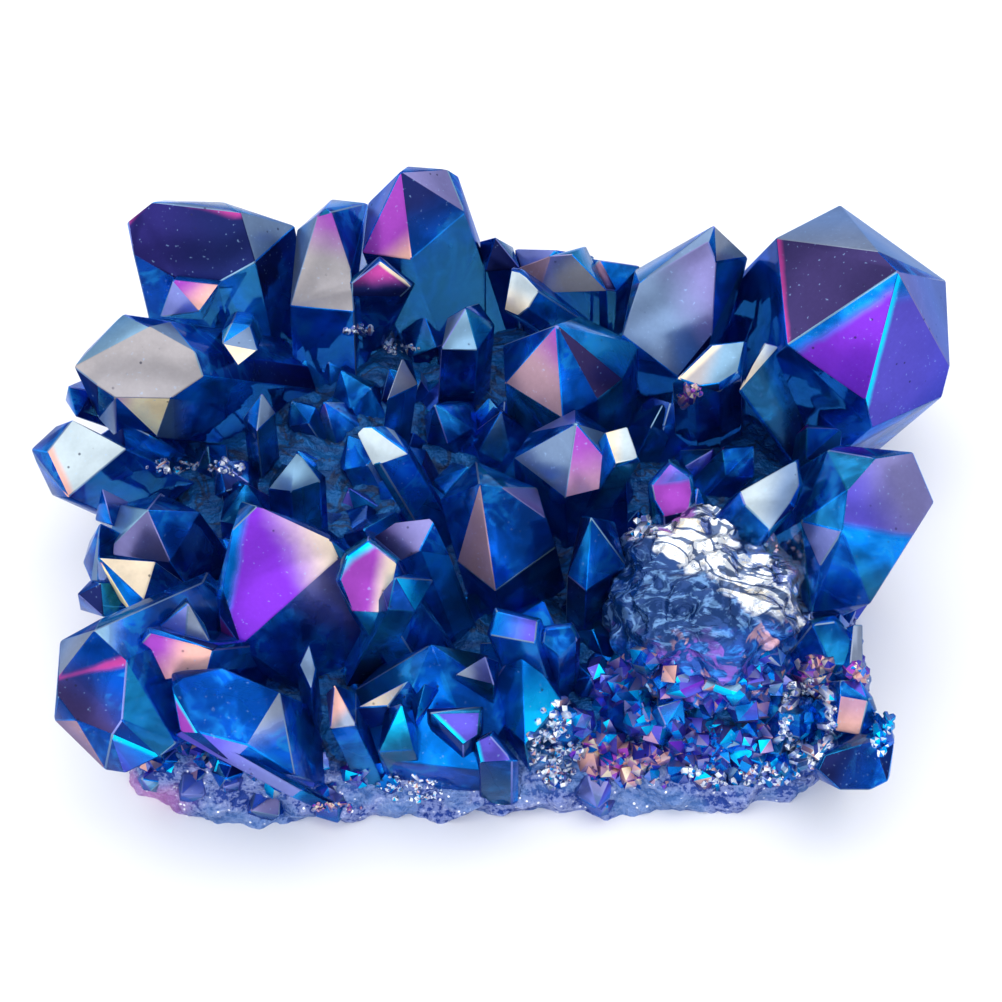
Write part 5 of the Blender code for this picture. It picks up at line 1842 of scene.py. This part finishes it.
@dataclass(frozen=True)
class CoatedCrust:
    """Rough matrix under the film: a striated lilac-blue band at the foot, dark teal above it.

    The band is darker in its hollows and lighter on its ridges, partly painted shade and painted highlight
    and partly random streaks and grain; its white sparks are painted glints. The dark teal above it is
    painted shade for the crevices between the crystals, crossed by brown-black veins.
    """

    grain: Tone = (0.16, 0.21, 0.46, 1.0)
    # The next two tones: lighter on the band's ridges and darker in its hollows, partly painted highlight
    # and painted shade.
    ridge_and_highlight: Tone = (0.33, 0.38, 0.62, 1.0)
    pit_and_shade: Tone = (0.010, 0.040, 0.24, 1.0)
    steel: Tone = (0.085, 0.20, 0.44, 1.0)
    blush: Tone = (0.50, 0.20, 0.46, 1.0)
    # White of the sparks: painted glints of the crust's tiny facets.
    spark: Tone = (0.92, 0.93, 0.98, 1.0)
    # teal and deep: painted shade for the crevices between the crystals.
    teal: Tone = (0.005, 0.095, 0.29, 1.0)
    deep: Tone = (0.004, 0.042, 0.15, 1.0)
    vein: Tone = (0.016, 0.011, 0.010, 1.0)
    along: Triple = (0.30, 1.0, 1.0)
    streaks: Grain = Grain(850.0, 3.0, 0.6, 0.6)
    grits: Grain = Grain(2300.0, 2.0, 0.6)
    patches: Grain = Grain(210.0)
    blushes: Grain = Grain(160.0, 1.0)
    veins: Grain = Grain(130.0, 3.0, 0.6, 1.0)
    vein_width: float = 0.0007
    sparks_per_metre: float = 1300.0
    blush_end: Span = (-0.027, -0.034)
    band_top: Span = (0.0042, 0.0062)

    def material(self) -> Material:
        """Builds the material.

        Returns:
            The material.
        """
        material, board = new_board("coated_crust")
        at = board.place()
        _, _, standing = board.film_place()
        streak = board.noise(board.scaled(at, self.along), self.streaks)
        grit = board.noise(at, self.grits)
        # How far the surface stands out gives painted shade in its hollows and painted highlight on its
        # ridges; the streaks and grain add random tone.
        height = standing * 0.30 + (streak - 0.5) * 1.2 + (grit - 0.5) * 1.0
        band = board.mix(height.step(-0.16, 0.02), self.pit_and_shade, self.grain)
        band = board.mix(height.step(0.06, 0.34), band, self.ridge_and_highlight)
        band = board.mix(board.noise(at, self.patches).step(0.46, 0.62) * 0.55, band, self.steel)
        east, _, up = board.parts(at)
        left_end = east.step(*self.blush_end) * board.noise(at, self.blushes).step(0.40, 0.60)
        band = board.mix(left_end * 0.7, band, self.blush)
        # Sparks: white dots painted as glints of the crust's tiny facets, also made more metallic.
        sparks = board.dots(at, self.sparks_per_metre, 0.12, 0.22) * streak.step(0.48, 0.56)
        band = board.mix(sparks, band, self.spark)
        # Above the band: dark teal painted shade for the crevices between the crystals, crossed by
        # brown-black veins.
        hollow = board.mix(streak.step(0.35, 0.62), self.deep, self.teal)
        seam = board.seams(board.noise(at, self.veins), self.vein_width)
        hollow = board.mix(seam * 0.6, hollow, self.vein)
        board.show(Surface=board.principled({
            "Base Color": board.mix(up.step(*self.band_top), band, hollow),
            "Metallic": 0.30 + sparks * 0.5, "Roughness": 0.42 - height.step(-0.1, 0.4) * 0.10,
            "Specular IOR Level": 0.2, "Normal": board.bump(0.8, 0.0004, streak + grit * 0.7),
        }))
        return material


@dataclass(frozen=True)
class CrumpledFoil:
    """The fine druse knob: crumpled silver foil above, blue-grey fibres below, deep blue at its foot.

    The silver above is a painted highlight, as if lit from above, crossed by dark lines of painted shade in
    its folds and hollows; the darker blue-grey below is painted shade over the foil's own fibres.

    foot_top: height over the knob's lowest point where the foot ends. lean, start, soft: the slope,
    place and width of the line over which the knob takes its painted highlight. brow: a coloured rim
    at its right, from these distances to the knob's middle, mm.
    """

    # gleam and cream: the painted highlight of the silver top.
    gleam: Tone = (0.68, 0.72, 0.77, 1.0)
    cream: Tone = (0.86, 0.76, 0.60, 1.0)
    # Dark tone of painted shade in the folds and hollows.
    crease_shade: Tone = (0.02, 0.06, 0.17, 1.0)
    thread: Tone = (0.10, 0.22, 0.44, 1.0)
    shadow: Tone = (0.003, 0.034, 0.15, 1.0)
    deep: Tone = (0.003, 0.050, 0.28, 1.0)
    glow: Tone = (0.012, 0.16, 0.55, 1.0)
    violet: Tone = (0.22, 0.09, 0.50, 1.0)
    peach: Tone = (0.86, 0.46, 0.42, 1.0)
    along: Triple = (0.5, 1.0, 1.0)
    swirls: Grain = Grain(210.0, 2.0, 0.5, 2.6)
    fibres: Grain = Grain(520.0, 3.0, 0.6, 2.4)
    patches: Grain = Grain(330.0, 2.0, 0.5, 1.2)
    foot_top: Span = (0.0060, 0.0090)
    lean: float = 0.62
    start: float = 0.0042
    soft: float = 0.0014
    brow: Span = (8.6, 9.3)

    def foot(self, board: Board, at: Socket, fibre: Socket) -> Socket:
        """Colours the knob's foot.

        Args:
            board: the material's board.
            at: Object coordinates.
            fibre: the fibre pattern.

        Returns:
            Deep blue with violet and peach patches.
        """
        patch = board.noise(at, self.patches)
        foot = board.mix(fibre.step(0.45, 0.62), self.deep, self.glow)
        foot = board.mix(patch.step(0.54, 0.60) * 0.8, foot, self.violet)
        return board.mix(patch.step(0.41, 0.36) * 0.6, foot, self.peach)

    def material(self, knob: FoilDruse) -> Material:
        """Builds the material.

        Args:
            knob: the knob that it covers.

        Returns:
            The material.
        """
        material, board = new_board("crumpled_foil")
        at = board.place()
        east, slope = board.growth_place(at)
        high = slope - (knob.centre[1] - knob.radius) * MM
        _, _, standing = board.film_place()
        # Hollows of the crumpled surface, where painted shade goes.
        valley_shade = standing.step(-0.10, -0.45)
        swirl = board.noise(board.scaled(at, self.along), self.swirls)
        fibre = board.noise(board.scaled(at, self.along), self.fibres)
        # Dark lines of painted shade in the folds of the silver top.
        fold = (swirl - 0.5) * (swirl - 0.5)
        lines = board.math("MAXIMUM", fold.step(0.0034, 0.0008), valley_shade * 0.45)
        light = board.mix(fibre.step(0.52, 0.66), self.gleam, self.cream)
        lit_crown = board.mix(lines * 0.92, light, self.crease_shade)
        # The lower side: painted shade, dark blue, with lighter fibre threads.
        shaded_belly = board.mix(fibre.step(0.50, 0.62), self.shadow, self.thread)
        edge = high + (swirl - 0.5) * 0.008
        colour = board.mix(edge.step(*self.foot_top), self.foot(board, at, fibre), shaded_belly)
        # Above a leaning line the knob takes the painted highlight of its silver top and is more metallic.
        leaning = slope + east * self.lean + (swirl - 0.5) * 0.006
        bright = leaning.step(self.start, self.start + self.soft)
        colour = board.mix(bright, colour, lit_crown)
        across = (east - knob.centre[0] * MM) * 1000.0
        above = (slope - knob.centre[1] * MM) * 1000.0
        radial = (across * across + above * above) ** 0.5
        brow = radial.step(*self.brow) * across.step(1.5, 4.0) * above.step(0.0, 3.0)
        board.show(Surface=board.principled({
            "Base Color": board.mix(brow * 0.85, colour, self.peach),
            "Metallic": 0.6 + bright * 0.3, "Roughness": 0.20,
            "Normal": board.bump(0.5, 0.0003, fibre),
        }))
        return material


@dataclass(frozen=True)
class SawnFoot:
    """The flat cut underneath: dull, with saw lines."""

    pale: Tone = (0.16, 0.18, 0.26, 1.0)
    dark: Tone = (0.05, 0.07, 0.14, 1.0)
    mottles: Grain = Grain(180.0, 5.0, 0.6)
    lines_per_metre: float = 380.0
    wobble: float = 1.5

    def material(self) -> Material:
        """Builds the material.

        Returns:
            The material.
        """
        material, board = new_board("sawn_foot")
        at = board.place()
        mottle = board.noise(at, self.mottles)
        wave = {"Vector": at, "Scale": self.lines_per_metre, "Distortion": self.wobble}
        lines = board.out(board.add("ShaderNodeTexWave", {"bands_direction": "X"}, wave), "Fac")
        board.show(Surface=board.principled({
            "Base Color": board.mix(mottle.step(0.35, 0.65), self.dark, self.pale),
            "Roughness": 0.55 + mottle * 0.2, "Normal": board.bump(0.3, 0.0001, lines),
        }))
        return material


@dataclass(frozen=True)
class Softbox:
    """A square area light aimed at the specimen; glow is its brightness beside the surround's 1."""

    name: str
    place: Triple
    size: float
    glow: float
    tone: Triple

    def light(self) -> None:
        """Adds the light."""
        data = bpy.data.lights.new(self.name, "AREA")
        data.size = self.size
        data.energy = self.glow * math.pi * self.size**2
        data.color = self.tone
        lamp = link_object(self.name, data)
        lamp.location = self.place
        lamp.rotation_euler = (-Vector(self.place)).to_track_quat("-Z", "Y").to_euler()


@dataclass(frozen=True)
class Studio:
    """The floor, the world, the lights and the camera.

    frame_width: what the picture spans at the growth frame's origin, mm. sensor: its width, mm.
    clip: nearest and farthest distance in sight, m. floor_size: m.
    """

    frame_width: float = 100.2
    sensor: float = 36.0
    clip: Span = (0.01, 50.0)
    floor_size: float = 6.0
    floor_tone: Tone = (0.86, 0.86, 0.87, 1.0)
    floor_roughness: float = 0.9
    world_tone: Tone = (0.90, 0.93, 1.0, 1.0)
    world_strength: float = 1.0
    softboxes: tuple[Softbox, ...] = (
        Softbox("top", (0.05, 0.25, 0.75), 1.1, 1.25, (1.0, 0.99, 0.97)),
        Softbox("left", (-0.70, -0.10, 0.40), 0.7, 1.15, (1.0, 0.96, 0.92)),
        Softbox("front", (0.10, -0.80, 0.30), 0.8, 1.7, (0.96, 0.98, 1.0)),
    )

    def camera(self) -> None:
        """Puts the camera at the growth frame's eye, looking along w."""
        data = bpy.data.cameras.new("camera")
        data.sensor_width = self.sensor
        data.lens = self.sensor * GROWTH.taper / self.frame_width
        data.clip_start, data.clip_end = self.clip
        camera = link_object("camera", data)
        camera.location = GROWTH.eye() * MM
        camera.rotation_euler = (math.radians(90.0) - GROWTH.tilt, 0.0, 0.0)
        bpy.context.scene.camera = camera

    def floor(self) -> None:
        """A plain pale floor, level with the flat cut."""
        bm = bmesh.new()
        bmesh.ops.create_grid(bm, x_segments=1, y_segments=1, size=self.floor_size / 2)
        mesh = mesh_of("floor", bm)
        material, board = new_board("pale_floor")
        tone = {"Base Color": self.floor_tone, "Roughness": self.floor_roughness}
        board.show(Surface=board.principled(tone))
        mesh.materials.append(material)
        link_object("floor", mesh)

    def world(self) -> None:
        """An even, pale surround."""
        world = bpy.data.worlds.new("studio")
        world.use_nodes = True
        board = Board(world.node_tree)
        light = {"Color": self.world_tone, "Strength": self.world_strength}
        background = board.add("ShaderNodeBackground", {}, light)
        board.add("ShaderNodeOutputWorld", {}, {"Surface": board.out(background)})
        bpy.context.scene.world = world

    def build(self) -> None:
        """Sets the studio up."""
        self.camera()
        self.floor()
        self.world()
        for softbox in self.softboxes:
            softbox.light()
        bpy.context.scene.view_settings.view_transform = "Standard"
        log.info("studio: %d softboxes", len(self.softboxes))


def main() -> None:
    """Builds the specimen and its studio."""
    logging.basicConfig(level=logging.INFO, format="%(message)s")
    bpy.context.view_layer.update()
    Studio().build()
    noise.seed_set(SEED)
    grower = Cluster()
    cluster = grower.grow()
    finishes = {
        Finish.QUARTZ: CoatedQuartz().material(),
        Finish.CRUST: CoatedCrust().material(),
        Finish.FOIL: CrumpledFoil().material(grower.knob),
        Finish.CUT: SawnFoot().material(),
    }
    for slot in Finish:
        cluster.data.materials.append(finishes[slot])
    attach(cluster, BODY)
    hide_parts(NODE)
    log.info("cluster: %d faces", len(cluster.data.polygons))


if __name__ == "__main__":
    main()
